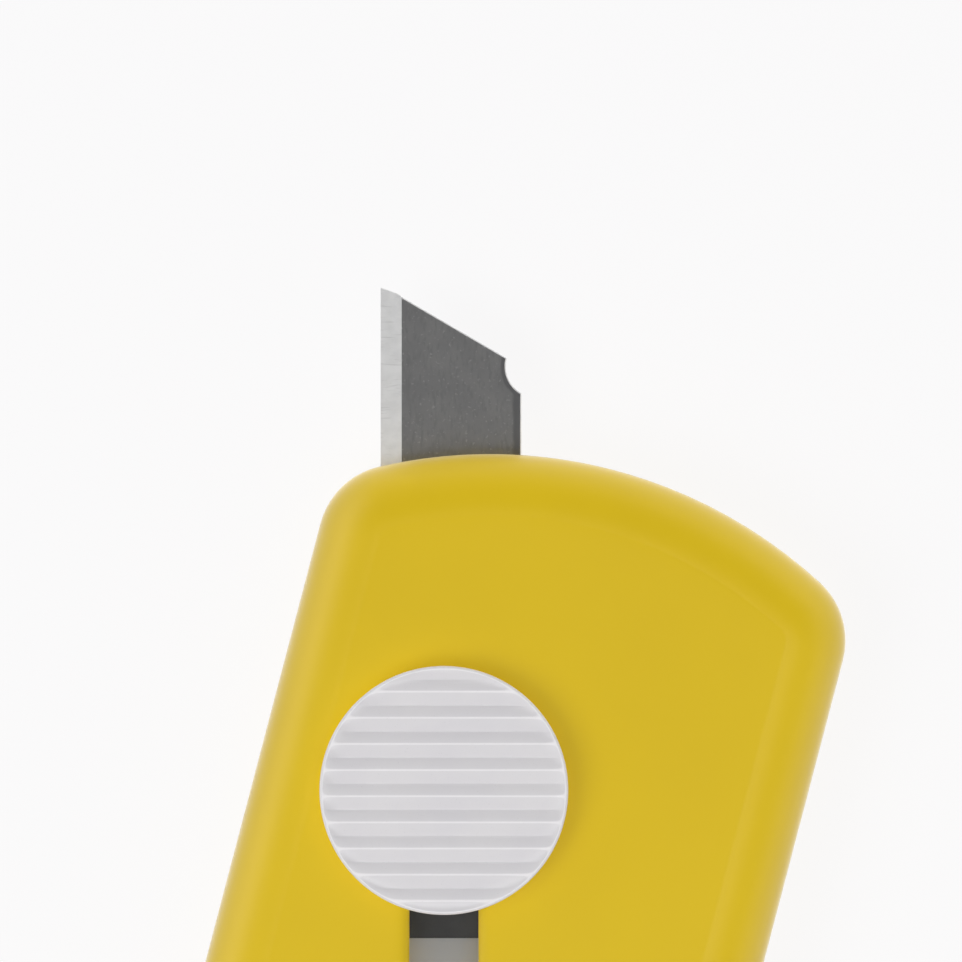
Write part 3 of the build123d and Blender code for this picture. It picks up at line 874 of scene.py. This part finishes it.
@dataclass
class RibbedButton(Assembly):
    """The round thumb button, with its stem."""

    thickness: float = 1.4 * MM
    rim: float = 0.18 * MM
    rim_steps: int = 10
    foot_edge: float = 0.2 * MM
    pitch: float = 1.66 * MM
    depth: float = 0.38 * MM
    ridge_from_middle: float = -0.35 * MM
    run_out: float = 1.15 * MM
    rows: int = 600
    columns: int = 72
    rib: tuple[Pair, ...] = (
        (0.0, 0.0), (0.03, 0.012), (0.06, 0.06), (0.40, 0.80), (0.445, 0.97),
        (0.47, 1.0), (0.50, 0.96), (0.94, 0.06), (0.97, 0.012), (1.0, 0.0),
    )
    stem: Pair = (4.0 * MM, 5.0 * MM)
    stem_corner: float = 1.0 * MM
    stem_lap: float = 0.1 * MM
    stem_break: float = 0.15 * MM

    def build(self) -> None:
        """Builds the button and seats it."""
        low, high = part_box("thumb_button")
        self.middle = Vector((*foot_of(low, high).xy, high.z))
        self.radius = (high.x - low.x) / 2
        self.foot_z = low.z
        face = self.ribbed_face()
        built = bmesh.new()
        built.from_mesh(face.data)
        bpy.data.objects.remove(face)
        bmesh.ops.remove_doubles(built, verts=built.verts, dist=SAME_POINT)
        self.add_rim(built)
        self.add_stem(built)
        bmesh.ops.recalc_face_normals(built, faces=built.faces)
        piece = mesh_object("ribbed_button", built, [BUTTON_GREY])
        shade(piece, sharp_degrees=40)
        self.seat(piece, Body.BUTTON, "button_plastic", "thumb_button")

    def ribbed_face(self) -> Piece:
        """Grows the ribbed face as a grid of rows that run along the ribs.

        Returns:
            The face, open at its round edge.
        """
        growth = Growth("button_face")
        ins = growth.inputs(
            Radius=self.radius - self.rim,
            Pitch=self.pitch,
            Depth=self.depth,
            Ridge=self.ridge_from_middle,
            RunOut=self.run_out,
            Middle=self.middle,
            Rows=self.rows,
            Columns=self.columns,
        )
        graph = growth.graph
        size = {"Size X": math.pi, "Size Y": math.pi, "Vertices X": ins["Columns"], "Vertices Y": ins["Rows"]}
        grid = graph.out("GeometryNodeMeshGrid", size)
        parts = graph.node("ShaderNodeSeparateXYZ", {0: graph.out("GeometryNodeInputPosition")}).outputs
        across = graph.math("MULTIPLY", graph.math("COSINE", parts[1]), graph.math("SINE", parts[0]))
        x = graph.math("MULTIPLY", ins["Radius"], across)
        y = graph.math("MULTIPLY", ins["Radius"], graph.math("SINE", parts[1]))
        place = graph.out("ShaderNodeCombineXYZ", {0: x, 1: y, 2: self.groove(graph, ins, x, y)})
        moved = graph.out("ShaderNodeVectorMath", {0: place, 1: ins["Middle"]}, operation="ADD")
        shaped = graph.out("GeometryNodeSetPosition", {"Geometry": grid, "Position": moved})
        return growth.finish(shaped, BUTTON_GREY)

    def groove(self, graph: Graph, ins: dict[str, Socket], x: Socket, y: Socket) -> Socket:
        """Works out how far the face lies below its ridges.

        Args:
            graph: The tree.
            ins: The tree's inputs.
            x: The point's place across, from the middle.
            y: The point's place along, from the middle.

        Returns:
            The height, at most 0.
        """
        turns = graph.math("DIVIDE", graph.math("SUBTRACT", y, ins["Ridge"]), ins["Pitch"])
        section = graph.node("ShaderNodeFloatCurve", {"Value": graph.math("FRACT", turns)})
        line = section.mapping.curves[0]
        line.points[0].location = self.rib[0]
        line.points[1].location = self.rib[-1]
        for share, deep in self.rib[1:-1]:
            line.points.new(share, deep)
        for point in line.points:
            point.handle_type = "VECTOR"
        section.mapping.update()
        to_edge = graph.math("SUBTRACT", ins["Radius"], graph.span(x, y))
        inside = graph.math("DIVIDE", to_edge, ins["RunOut"])
        short = graph.math("SUBTRACT", 1.0, graph.math("MINIMUM", inside, 1.0))
        fade = graph.math("MULTIPLY_ADD", graph.math("MULTIPLY", short, short), -1.0, 1.0)
        drop = graph.math("MULTIPLY", graph.math("MULTIPLY", section.outputs[0], fade), ins["Depth"])
        return graph.math("MULTIPLY", drop, -1.0)

    def add_rim(self, built: Mesh) -> None:
        """Carries the face's edge round the rim, down the side and under the disc.

        Args:
            built: The face's mesh.
        """
        turns = {}
        for side in built.edges:
            if side.is_boundary:
                for vert in side.verts:
                    reach = vert.co - self.middle
                    turns[vert] = math.atan2(reach.y, reach.x)
        below = sorted(turns, key=turns.get)
        angles = [turns[vert] for vert in below]
        profile = arc((self.radius - self.rim, -self.rim), self.rim, 90, 0, self.rim_steps)[1:]
        profile += [
            (self.radius, self.foot_edge - self.thickness),
            (self.radius - self.foot_edge, -self.thickness),
            (self.radius / 2, -self.thickness),
        ]
        for radius, height in profile:
            ring = []
            for turn in angles:
                reach = Vector((radius * math.cos(turn), radius * math.sin(turn), height))
                ring.append(built.verts.new(self.middle + reach))
            bridge(built, below, ring)
            below = ring
        built.faces.new(below)

    def add_stem(self, built: Mesh) -> None:
        """Adds the stem that passes through the handle's slot.

        Args:
            built: The button's mesh.
        """
        outline = rounded_rectangle(*self.stem, self.stem_corner, steps=8)
        middle_x, middle_y = self.middle.xy
        top_z = self.middle.z - self.thickness + self.stem_lap
        rings = []
        for inset, z in ((0.0, top_z), (0.0, self.foot_z + self.stem_break), (self.stem_break, self.foot_z)):
            shrink = 1 - 2 * inset / self.stem[0]
            rings.append([Vector((middle_x + x * shrink, middle_y + y * shrink, z)) for x, y in outline])
        skin(rings, built, capped=True)


@dataclass
class GroundBlade(Assembly):
    """The blade: a rolled strip with a ground edge, a slanted tip and a nick in its back."""

    bevel: float = 1.34 * MM
    edge: float = 0.03 * MM
    slant: float = 30.2
    slant_top: float = 0.2 * MM
    facet: float = 1.05 * MM
    facet_slope: float = 20.0
    shoulder: float = 0.1 * MM
    nick: float = 1.96 * MM
    nick_offset: float = 0.96 * MM
    corner_degrees: float = 60.0
    burr: float = 0.09 * MM
    burr_from: float = 0.9
    flat_facing: float = 0.97
    tail_corner: float = 1.0 * MM
    peg_from_tail: float = 3.5 * MM
    peg_hole: float = 1.4 * MM
    peg_drill: float = 20.0 * MM

    def build(self) -> None:
        """Builds the blade and seats it."""
        self.low, self.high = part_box("blade")
        built = bmesh.new()
        self.raise_strip(built, self.outline())
        piece = mesh_object("ground_blade", built, [BLADE_FLAT, BLADE_GROUND])
        peg = Vector(((self.low.x + self.high.x) / 2, self.low.y + self.peg_from_tail, 0.0))
        drill(piece, peg, self.peg_hole, self.peg_drill, 64)
        for face in piece.data.polygons:
            inside = face.center.x < self.low.x + self.bevel
            face.material_index = 1 if inside or abs(face.normal.z) < self.flat_facing else 0
        shade(piece, sharp_degrees=3)
        self.seat(piece, Body.CARRIAGE, "blade_steel", "blade")

    def outline(self) -> list[Pair]:
        """The blade's outline seen flat.

        Returns:
            Its points, clockwise from the edge's tail.
        """
        edge_x, spine_x, tail_y, tip_y = self.low.x, self.high.x, self.low.y, self.high.y
        slope = math.tan(math.radians(self.slant))
        top_y = tip_y + self.slant_top
        shoulder_x = edge_x + self.bevel + self.shoulder
        nick_y = top_y - slope * (spine_x - edge_x)
        centre_x = spine_x + self.nick_offset
        fall = math.degrees(math.acos(self.nick_offset / self.nick))
        run_in = 180 - self.slant + math.degrees(
            math.asin(self.nick_offset * math.sin(math.radians(self.slant)) / self.nick)
        )
        start = (
            centre_x + self.nick * math.cos(math.radians(run_in)),
            nick_y + self.nick * math.sin(math.radians(run_in)),
        )
        facet_drop = self.facet * math.tan(math.radians(self.facet_slope))
        return [
            (edge_x, tail_y),
            (edge_x, tip_y),
            (edge_x + self.facet, tip_y - facet_drop),
            (shoulder_x, top_y - slope * (shoulder_x - edge_x)),
            start,
            *arc((centre_x, nick_y), self.nick, run_in, 180 + fall, 20)[1:],
            (spine_x, tail_y + self.tail_corner),
            (spine_x - self.tail_corner, tail_y),
        ]

    def raise_strip(self, built: Mesh, outline: Sequence[Pair]) -> None:
        """Gives the outline its thickness, its ground edge and a fine break along its rim.

        Args:
            built: The mesh to fill.
            outline: The blade's outline.
        """
        sheet = built.faces.new([built.verts.new((x, y, 0.0)) for x, y in outline])
        bevel_x = self.low.x + self.bevel
        bmesh.ops.bisect_plane(
            built, geom=[sheet, *built.verts, *built.edges], plane_co=(bevel_x, 0, 0), plane_no=(1, 0, 0)
        )
        half = (self.high.z - self.low.z) / 2
        mid_z = (self.high.z + self.low.z) / 2
        upper = set(built.verts)
        bmesh.ops.duplicate(built, geom=[*built.verts, *built.edges, *built.faces])
        for vert in built.verts:
            share = min(1.0, max(0.0, (vert.co.x - self.low.x) / self.bevel))
            reach = self.edge / 2 + (half - self.edge / 2) * share
            vert.co.z = mid_z + (reach if vert in upper else -reach)
        rim = [side for side in built.edges if side.is_boundary]
        rim.sort(key=lambda side: side.verts[0] not in upper)
        bmesh.ops.bridge_loops(built, edges=rim)
        bmesh.ops.recalc_face_normals(built, faces=built.faces)
        corners = [
            side
            for side in built.edges
            if len(side.link_faces) == 2
            and side.calc_face_angle() > math.radians(self.corner_degrees)
            and min(vert.co.x for vert in side.verts) > self.low.x + self.bevel * self.burr_from
            and abs(side.verts[0].co.z - side.verts[1].co.z) < TOUCHING
        ]
        bmesh.ops.bevel(built, geom=corners, offset=self.burr, segments=2, profile=0.5, affect="EDGES")
        bmesh.ops.recalc_face_normals(built, faces=built.faces)


@dataclass
class LockLeaf(Assembly):
    """The spring strip that locks the carriage; the button's wing bends it down."""

    thickness: float = 0.25 * MM
    bend: float = 0.25 * MM
    bend_steps: int = 8
    corner: float = 0.05 * MM
    nose_rear: float = 1.65 * MM
    lean: float = 0.10 * MM
    lip: float = 0.9 * MM
    bay: float = 0.3 * MM
    held_to_y: float = 8.9 * MM
    pushed_from_y: float = 14.2 * MM
    rivet: float = 0.5 * MM
    rivet_ys: tuple[float, ...] = (5.7 * MM, 7.5 * MM)

    def build(self) -> None:
        """Builds the strip in its bent shape, in the CAD leaf's stead."""
        low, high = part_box("lock_leaf")
        half = self.thickness / 2
        front_y = high.y - half
        corners_yz = [
            Vector((low.y, low.z + half)),
            Vector((front_y - self.nose_rear - self.lean / 2, low.z + half)),
            Vector((front_y - self.nose_rear + self.lean / 2, high.z - half)),
            Vector((front_y - self.lean, high.z - half)),
            Vector((front_y, high.z - self.lip)),
        ]
        path = self.path(corners_yz)
        section = rounded_rectangle(high.x - low.x, self.thickness, self.corner, steps=3)
        middle_x = (low.x + high.x) / 2
        rings = []
        for step, point in enumerate(path):
            way = (path[min(step + 1, len(path) - 1)] - path[max(step - 1, 0)]).normalized()
            rings.append(
                [Vector((middle_x + x, point.x - way.y * up, point.y + way.x * up)) for x, up in section]
            )
        built = bmesh.new()
        skin(rings, built, capped=True)
        close_up(built)
        piece = mesh_object("bent_leaf", built, [SPRING_STEEL])
        for y in self.rivet_ys:
            drill(piece, Vector((middle_x, y, low.z - self.thickness)), self.rivet, 3 * self.thickness, 48)
        shade(piece, sharp_degrees=40)
        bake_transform(piece)
        self.stand_in(piece, "spring_steel", "lock_leaf")

    def path(self, corners_yz: Sequence[Vector]) -> list[Vector]:
        """Runs a line through corners with each inner one rounded.

        Args:
            corners_yz: The corners, as (y, z).

        Returns:
            Points along the line, closer together in its bends.
        """
        points = [corners_yz[0]]
        for before, corner, after in zip(corners_yz, corners_yz[1:], corners_yz[2:]):
            back, ahead = (before - corner).normalized(), (after - corner).normalized()
            half_angle = back.angle(ahead) / 2
            centre = corner + (back + ahead).normalized() * (self.bend / math.sin(half_angle))
            reach = self.bend / math.tan(half_angle)
            first = (corner + back * reach - centre).normalized()
            last = (corner + ahead * reach - centre).normalized()
            points += self.bays(points[-1], centre + first * self.bend)
            for step in range(1, self.bend_steps + 1):
                points.append(centre + first.slerp(last, step / self.bend_steps) * self.bend)
        return points + self.bays(points[-1], corners_yz[-1])

    def bays(self, start: Vector, end: Vector) -> list[Vector]:
        """Splits a straight run into short bays and gives their far ends."""
        count = max(1, math.ceil((end - start).length / self.bay))
        return [start.lerp(end, step / count) for step in range(1, count + 1)]


@dataclass
class Fasteners(Assembly):
    """The shell screws and the brass bushes that they bite in.

    The screws' cross recess tapers from its mouth to its floor. Each of the two is given as an
    arm's length, its width, and its depth below the head's face.
    """

    sides: int = 48
    head_radius: float = 1.9 * MM
    head_height: float = 1.2 * MM
    head_round: float = 0.55 * MM
    shank_radius: float = 0.98 * MM
    tip: float = 0.3 * MM
    tip_share: float = 0.6
    thread_pitch: float = 0.45 * MM
    thread_depth: float = 0.14 * MM
    thread_run_in: float = 0.4 * MM
    thread_run_out: float = 0.3 * MM
    rings_per_turn: int = 10
    cross_mouth: tuple[float, float, float] = (2.352 * MM, 0.55 * MM, -0.1 * MM)
    cross_floor: tuple[float, float, float] = (0.945 * MM, 0.4 * MM, 0.8 * MM)
    bush_radius: float = 1.6 * MM
    bush_play: float = 0.02 * MM
    bush_step: float = 0.05 * MM
    bush_band: float = 0.3
    knurls: int = 28
    knurl_depth: float = 0.06 * MM

    def build(self) -> None:
        """Builds the screws and the bushes, and seats them."""
        for node, master, name, finish, sharp_degrees, slot in (
            ("shell_screws", self.screw, "cross_screws", ZINC, 35, "screw_steel"),
            ("thread_inserts", self.bush, "knurled_bushes", BRASS, 20, "rivet_brass"),
        ):
            found = islands(self.frame["nodes"][node])
            height = found[0][1].z - found[0][0].z
            made = scatter(name, master(height), [foot_of(*pair) for pair in found], finish)
            shade(made, sharp_degrees)
            self.seat(made, Body.HANDLE, slot, node)

    def screw(self, length: float) -> Piece:
        """Builds one screw that stands on its head at the origin.

        Args:
            length: Its whole length.

        Returns:
            The screw.
        """
        domed = arc((self.head_radius - self.head_round, self.head_round), self.head_round, -90, 0, 8)
        neck_z, end_z = self.head_height, length - self.tip
        profile = [(0.0, 0.0), *domed, (self.head_radius, neck_z)]
        rings = [level_ring([radius] * self.sides, height) for radius, height in profile]
        steps = int((end_z - neck_z) / self.thread_pitch * self.rings_per_turn)
        for step in range(steps + 1):
            height = neck_z + (end_z - neck_z) * step / steps
            rings.append(self.threaded_ring(height, neck_z, end_z))
        for radius in (self.shank_radius * self.tip_share, 0.0):
            rings.append(level_ring([radius] * self.sides, length))
        built = bmesh.new()
        skin(rings, built)
        close_up(built)
        master = mesh_object("screw_master", built, [ZINC])
        for turned in (False, True):
            cut(master, self.cross(turned))
        return master

    def threaded_ring(self, height: float, start_z: float, end_z: float) -> list[Vector]:
        """A ring of the threaded shank, whose radius follows the helix.

        Args:
            height: Its height.
            start_z: Where the thread begins to rise.
            end_z: Where it has run out.

        Returns:
            The ring's points.
        """
        fade = min(1.0, (height - start_z) / self.thread_run_in, (end_z - height) / self.thread_run_out)
        radii = []
        for step in range(self.sides):
            share = (height / self.thread_pitch - step / self.sides) % 1.0
            crest = 1 - abs(2 * share - 1)
            radii.append(self.shank_radius - self.thread_depth * (1 - crest * max(0.0, fade)))
        return level_ring(radii, height)

    def cross(self, turned: bool) -> Piece:
        """Builds the tapered cutter for one arm of the cross recess.

        Args:
            turned: Whether it is the arm along Y.

        Returns:
            The cutter.
        """
        rings = []
        for length, width, z in (self.cross_mouth, self.cross_floor):
            x, y = (width / 2, length / 2) if turned else (length / 2, width / 2)
            rings.append([Vector((-x, -y, z)), Vector((x, -y, z)), Vector((x, y, z)), Vector((-x, y, z))])
        built = bmesh.new()
        skin(rings, built, capped=True)
        bmesh.ops.recalc_face_normals(built, faces=built.faces)
        return mesh_object("cross_cutter", built, [])

    def bush(self, height: float) -> Piece:
        """Builds one knurled bush that stands at the origin.

        Args:
            height: Its height.

        Returns:
            The bush.
        """
        sides = self.knurls * 4
        inner = [self.shank_radius + self.bush_play] * sides
        band = self.bush_band * height
        plain = [self.bush_radius - self.knurl_depth] * sides
        knurled = []
        for step in range(sides):
            wave = math.cos(math.tau * step / sides * self.knurls)
            knurled.append(self.bush_radius - self.knurl_depth * (0.5 - 0.5 * wave))
        levels = [(0.0, plain), (self.bush_play, knurled), (band, knurled), (band + self.bush_step, plain)]
        levels += [(height - z, radii) for z, radii in reversed(levels)]
        levels = [(0.0, inner), *levels, (height, inner), (0.0, inner)]
        built = bmesh.new()
        skin([level_ring(radii, z) for z, radii in levels], built)
        close_up(built)
        return mesh_object("bush_master", built, [BRASS])


@dataclass
class ButtonSprings(Assembly):
    """The two small coils that lift the button, with closed ends."""

    wire: float = 0.11 * MM
    wire_sides: int = 10
    turns: float = 5.0
    dead_turns: float = 0.9
    points_per_turn: int = 28
    press: float = 0.55 * MM

    def build(self) -> None:
        """Builds the springs and seats them on the carriage."""
        found = islands(self.frame["nodes"]["button_springs"])
        low, high = found[0]
        places = [foot_of(*pair) + Vector((0.0, 0.0, self.wire)) for pair in found]
        springs = scatter("coil_springs", self.coil(low, high), places, SPRING_STEEL)
        springs.data.shade_smooth()
        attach(springs, Body.CARRIAGE.value)
        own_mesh(springs)
        self.stand_in(springs, "spring_steel", "button_springs")

    def coil(self, low: Vector, high: Vector) -> Piece:
        """Grows one coil that stands at the origin.

        Args:
            low: The lowest corner of the box that it fills.
            high: The highest corner.

        Returns:
            The coil.
        """
        height = high.z - low.z - 2 * self.wire
        growth = Growth("coil")
        ins = growth.inputs(
            Radius=(high.x - low.x) / 2 - self.wire,
            Height=height,
            Wire=self.wire,
            Turns=self.turns,
            Dead=self.dead_turns / self.turns,
            Solid=2 * self.wire * self.dead_turns / height,
        )
        graph = growth.graph
        turn = {"Start Radius": ins["Radius"], "End Radius": ins["Radius"], "Rotations": ins["Turns"]}
        line = graph.out(
            "GeometryNodeCurveSpiral", {"Resolution": self.points_per_turn, "Height": 0.0, **turn}
        )
        lifted = self.rise(graph, ins, graph.out("GeometryNodeSplineParameter", output="Factor"))
        offset = graph.out("ShaderNodeCombineXYZ", {2: lifted})
        coil = graph.out("GeometryNodeSetPosition", {"Geometry": line, "Offset": offset})
        section = graph.out(
            "GeometryNodeCurvePrimitiveCircle", {"Resolution": self.wire_sides, "Radius": ins["Wire"]}
        )
        tube = graph.out(
            "GeometryNodeCurveToMesh", {"Curve": coil, "Profile Curve": section, "Fill Caps": True}
        )
        return growth.finish(tube, SPRING_STEEL)

    def rise(self, graph: Graph, ins: dict[str, Socket], share: Socket) -> Socket:
        """Works out the wire's height along the coil, with a closed turn at each end.

        Args:
            graph: The tree.
            ins: The tree's inputs.
            share: How far along the wire the point is.

        Returns:
            The height.
        """
        one_less = graph.math("SUBTRACT", 1.0, ins["Dead"])
        open_height = graph.math("MULTIPLY_ADD", ins["Solid"], -2.0, 1.0)
        first = graph.ramp(share, 0.0, ins["Dead"], 0.0, ins["Solid"])
        middle = graph.ramp(share, ins["Dead"], one_less, 0.0, open_height)
        last = graph.ramp(share, one_less, 1.0, 0.0, ins["Solid"])
        total = graph.math("ADD", graph.math("ADD", first, middle), last)
        return graph.math("MULTIPLY", total, ins["Height"])


@dataclass
class Fittings(Assembly):
    """The lanyard eyelet and the magnet's cap."""

    sides: int = 128
    tube: float = 2.9 * MM
    bore: float = 2.3 * MM
    throat: float = 0.6 * MM
    lip: float = 0.35 * MM
    cap_rings: int = 5
    cap_ringed: float = 0.82
    cap_groove: float = 0.06 * MM
    cap_edge: float = 0.12 * MM
    groove: tuple[Pair, ...] = (
        (-0.18, 0.0), (-0.08, 0.7), (0.0, 1.0), (0.08, 0.7), (0.18, 0.0),
    )

    def build(self) -> None:
        """Builds both pieces and seats them."""
        self.seat(self.eyelet(), Body.HANDLE, "eyelet_nickel", "lanyard_eyelet")
        self.seat(self.cap(), Body.HANDLE, "cap_plastic", "magnet_cap")

    def eyelet(self) -> Piece:
        """Builds the eyelet as one rolled tube.

        Returns:
            The eyelet.
        """
        low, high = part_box("lanyard_eyelet")
        height, flange = high.z - low.z, (high.x - low.x) / 2
        half_roll, throat = self.lip / 2, self.throat
        profile = [(self.bore, throat)]
        profile += arc((self.bore + throat, throat), throat, 180, 270, 10)
        profile += arc((flange - half_roll, half_roll), half_roll, -90, 90, 10)
        profile += [(self.tube, self.lip), (self.tube, height - self.lip)]
        profile += arc((flange - half_roll, height - half_roll), half_roll, -90, 90, 10)
        profile += arc((self.bore + throat, height - throat), throat, 90, 180, 10)
        profile.append(profile[0])
        built = lathe(profile, foot_of(low, high), self.sides)
        piece = mesh_object("rolled_eyelet", built, [NICKEL])
        shade(piece, sharp_degrees=40)
        return piece

    def cap(self) -> Piece:
        """Builds the magnet's cap, with fine rings pressed in its face.

        Returns:
            The cap.
        """
        low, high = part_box("magnet_cap")
        height, radius = high.z - low.z, (high.x - low.x) / 2
        profile = [(0.0, 0.0)]
        step = radius * self.cap_ringed / self.cap_rings
        for ring in range(1, self.cap_rings + 1):
            profile += [(ring * step + share * step, drop * self.cap_groove) for share, drop in self.groove]
        profile += arc((radius - self.cap_edge, self.cap_edge), self.cap_edge, -90, 0, 6)
        profile += [(radius, height), (0.0, height)]
        built = lathe(profile, foot_of(low, high), self.sides)
        piece = mesh_object("ringed_cap", built, [CAP_PLASTIC])
        shade(piece, sharp_degrees=50)
        return piece


@dataclass
class Shells(Assembly):
    """The two halves of the handle."""

    def build(self) -> None:
        """Dresses both halves."""
        for node in ("front_shell", "back_shell"):
            self.dress(node, SHELL_YELLOW)


@dataclass
class Works(Assembly):
    """The pieces inside the handle that keep their CAD shape."""

    finishes: dict[str, Finish] = field(
        default_factory=lambda: {
            "blade_carrier": DARK_PLASTIC,
            "blade_channel": SHEET_STEEL,
            "lock_plate": SHEET_STEEL,
            "leaf_rivets": BRASS,
            "mouth_guide": ACETAL,
            "stop_bumper": RUBBER,
            "magnet": NICKEL,
            "magnet_cup": NICKEL,
            "button_foot": ACETAL,
            "button_screw": ZINC,
        }
    )

    def build(self) -> None:
        """Dresses each piece."""
        for node, finish in self.finishes.items():
            self.dress(node, finish)


# ---------------------------------------------------------------- studio


@dataclass(frozen=True)
class Lamp:
    """A soft flat lamp that points at the knife.

    A card lights nothing and is only mirrored, so its diffuse flag is off. A lamp that casts no
    shadow shines through the floor, and the ones under it stand for the light that a floor throws
    back at the steep sides.
    """

    name: str
    place: tuple[float, float, float]
    size: Pair
    watts: float
    glossy: bool = False
    diffuse: bool = True
    shadow: bool = True

    def hang(self) -> None:
        """Adds the lamp to the scene."""
        data = bpy.data.lights.new(self.name, "AREA")
        data.shape = "RECTANGLE"
        data.size, data.size_y = self.size
        data.energy = self.watts
        data.use_shadow = self.shadow
        made = bpy.data.objects.new(self.name, data)
        made.location = self.place
        made.rotation_euler = (-Vector(self.place)).to_track_quat("-Z", "Y").to_euler()
        made.visible_camera = False
        made.visible_glossy = self.glossy
        made.visible_diffuse = self.diffuse
        bpy.context.scene.collection.objects.link(made)


LAMPS = (
    Lamp("key", (-0.376, -0.167, 0.566), (0.42, 0.42), 1.90),
    Lamp("fill", (0.08, -0.11, 0.60), (0.30, 0.30), 1.90, shadow=False),
    Lamp("back", (0.50, 0.62, 0.06), (0.60, 0.10), 1.35),
    Lamp("bounce_back", (0.05, 0.50, -0.20), (0.5, 0.3), 2.3, shadow=False),
    Lamp("bounce_left", (-0.50, 0.10, -0.20), (0.5, 0.3), 0.7, glossy=True, shadow=False),
    Lamp("bounce_right", (0.50, -0.05, -0.20), (0.5, 0.3), 0.6, glossy=True, shadow=False),
    Lamp("left_card", (-0.617, 0.20, 0.211), (1.0, 0.38), 2.2, glossy=True, diffuse=False),
    Lamp("front_card", (0.0, -0.285, 0.64), (0.5, 0.30), 0.5, glossy=True, diffuse=False),
    Lamp("right_card", (0.60, 0.10, 0.20), (0.8, 0.3), 0.5, glossy=True, diffuse=False),
)


@dataclass
class Studio:
    """The floor, the lights and the camera."""

    view_width: float = 61.39 * MM
    view_centre: Pair = (0.41 * MM, 33.15 * MM)
    sharp_z: float = 6.0 * MM
    lens: float = 600.0
    sensor: float = 36.0
    floor_reach: float = 3.0
    floor_gap: float = 0.02 * MM
    floor_grey: float = 0.10
    floor_glow: tuple[float, float, float, float] = (1.0, 0.995, 1.0, 1.0)
    floor_glow_strength: float = 0.86
    wall_light: float = 0.5
    ceiling_light: float = 0.20
    wall_to_ceiling: Pair = (0.15, 0.55)
    front_lean: float = 0.2

    def build(self) -> None:
        """Sets the whole studio up."""
        self.floor()
        self.world()
        for lamp in LAMPS:
            lamp.hang()
        self.camera()
        bpy.context.scene.view_settings.view_transform = "Standard"

    def floor(self) -> None:
        """Lays the pale floor just under the knife."""
        built = bmesh.new()
        bmesh.ops.create_grid(built, x_segments=1, y_segments=1, size=self.floor_reach)
        floor = mesh_object("floor", built, [])
        floor.location.z = -self.floor_gap
        made = bpy.data.materials.new("pale_floor")
        made.use_nodes = True
        shader = made.node_tree.nodes["Principled BSDF"]
        for name, value in {
            "Base Color": (self.floor_grey, self.floor_grey, self.floor_grey, 1.0),
            "Roughness": 0.9,
            "Specular IOR Level": 0.0,
            "Emission Color": self.floor_glow,
            "Emission Strength": self.floor_glow_strength,
        }.items():
            shader.inputs[name].default_value = value
        floor.data.materials.append(made)
        floor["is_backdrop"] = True

    def world(self) -> None:
        """Makes the room's light, darker overhead and bright at its walls."""
        world = bpy.data.worlds.new("room")
        bpy.context.scene.world = world
        world.use_nodes = True
        world.node_tree.nodes.clear()
        graph = Graph(world.node_tree)
        way = graph.out("ShaderNodeTexCoord", output="Generated")
        parts = graph.node("ShaderNodeSeparateXYZ", {0: way}).outputs
        ends = (*self.wall_to_ceiling, self.wall_light, self.ceiling_light)
        level = graph.ramp(parts[2], *ends, interpolation_type="SMOOTHSTEP")
        lean = graph.math("MULTIPLY_ADD", parts[1], -self.front_lean, 1.0)
        light = {"Color": (1.0, 1.0, 1.0, 1.0), "Strength": graph.math("MULTIPLY", level, lean)}
        graph.node("ShaderNodeOutputWorld", {"Surface": graph.out("ShaderNodeBackground", light)})

    def camera(self) -> None:
        """Hangs the camera straight above the knife, far off with a long lens."""
        data = bpy.data.cameras.new("camera")
        data.lens = self.lens
        data.sensor_width = self.sensor
        distance = self.view_width * self.lens / self.sensor
        data.clip_start = distance / 10
        data.clip_end = distance * 10
        made = bpy.data.objects.new("camera", data)
        made.location = (*self.view_centre, self.sharp_z + distance)
        bpy.context.scene.collection.objects.link(made)
        bpy.context.scene.camera = made


def corners() -> list[list[float]]:
    """The shown object's lowest and highest corners as plain lists."""
    return [list(corner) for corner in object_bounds()]


def main() -> None:
    """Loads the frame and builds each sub-assembly in order."""
    logging.basicConfig(level=logging.INFO, format="%(name)s: %(message)s")
    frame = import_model()
    for maker in (Shells, RibbedButton, GroundBlade, Fasteners, ButtonSprings, LockLeaf, Fittings, Works):
        maker(frame).build()
        LOG.info("%s done", maker.__name__)
    Studio().build()


if __name__ == "__main__":
    main()
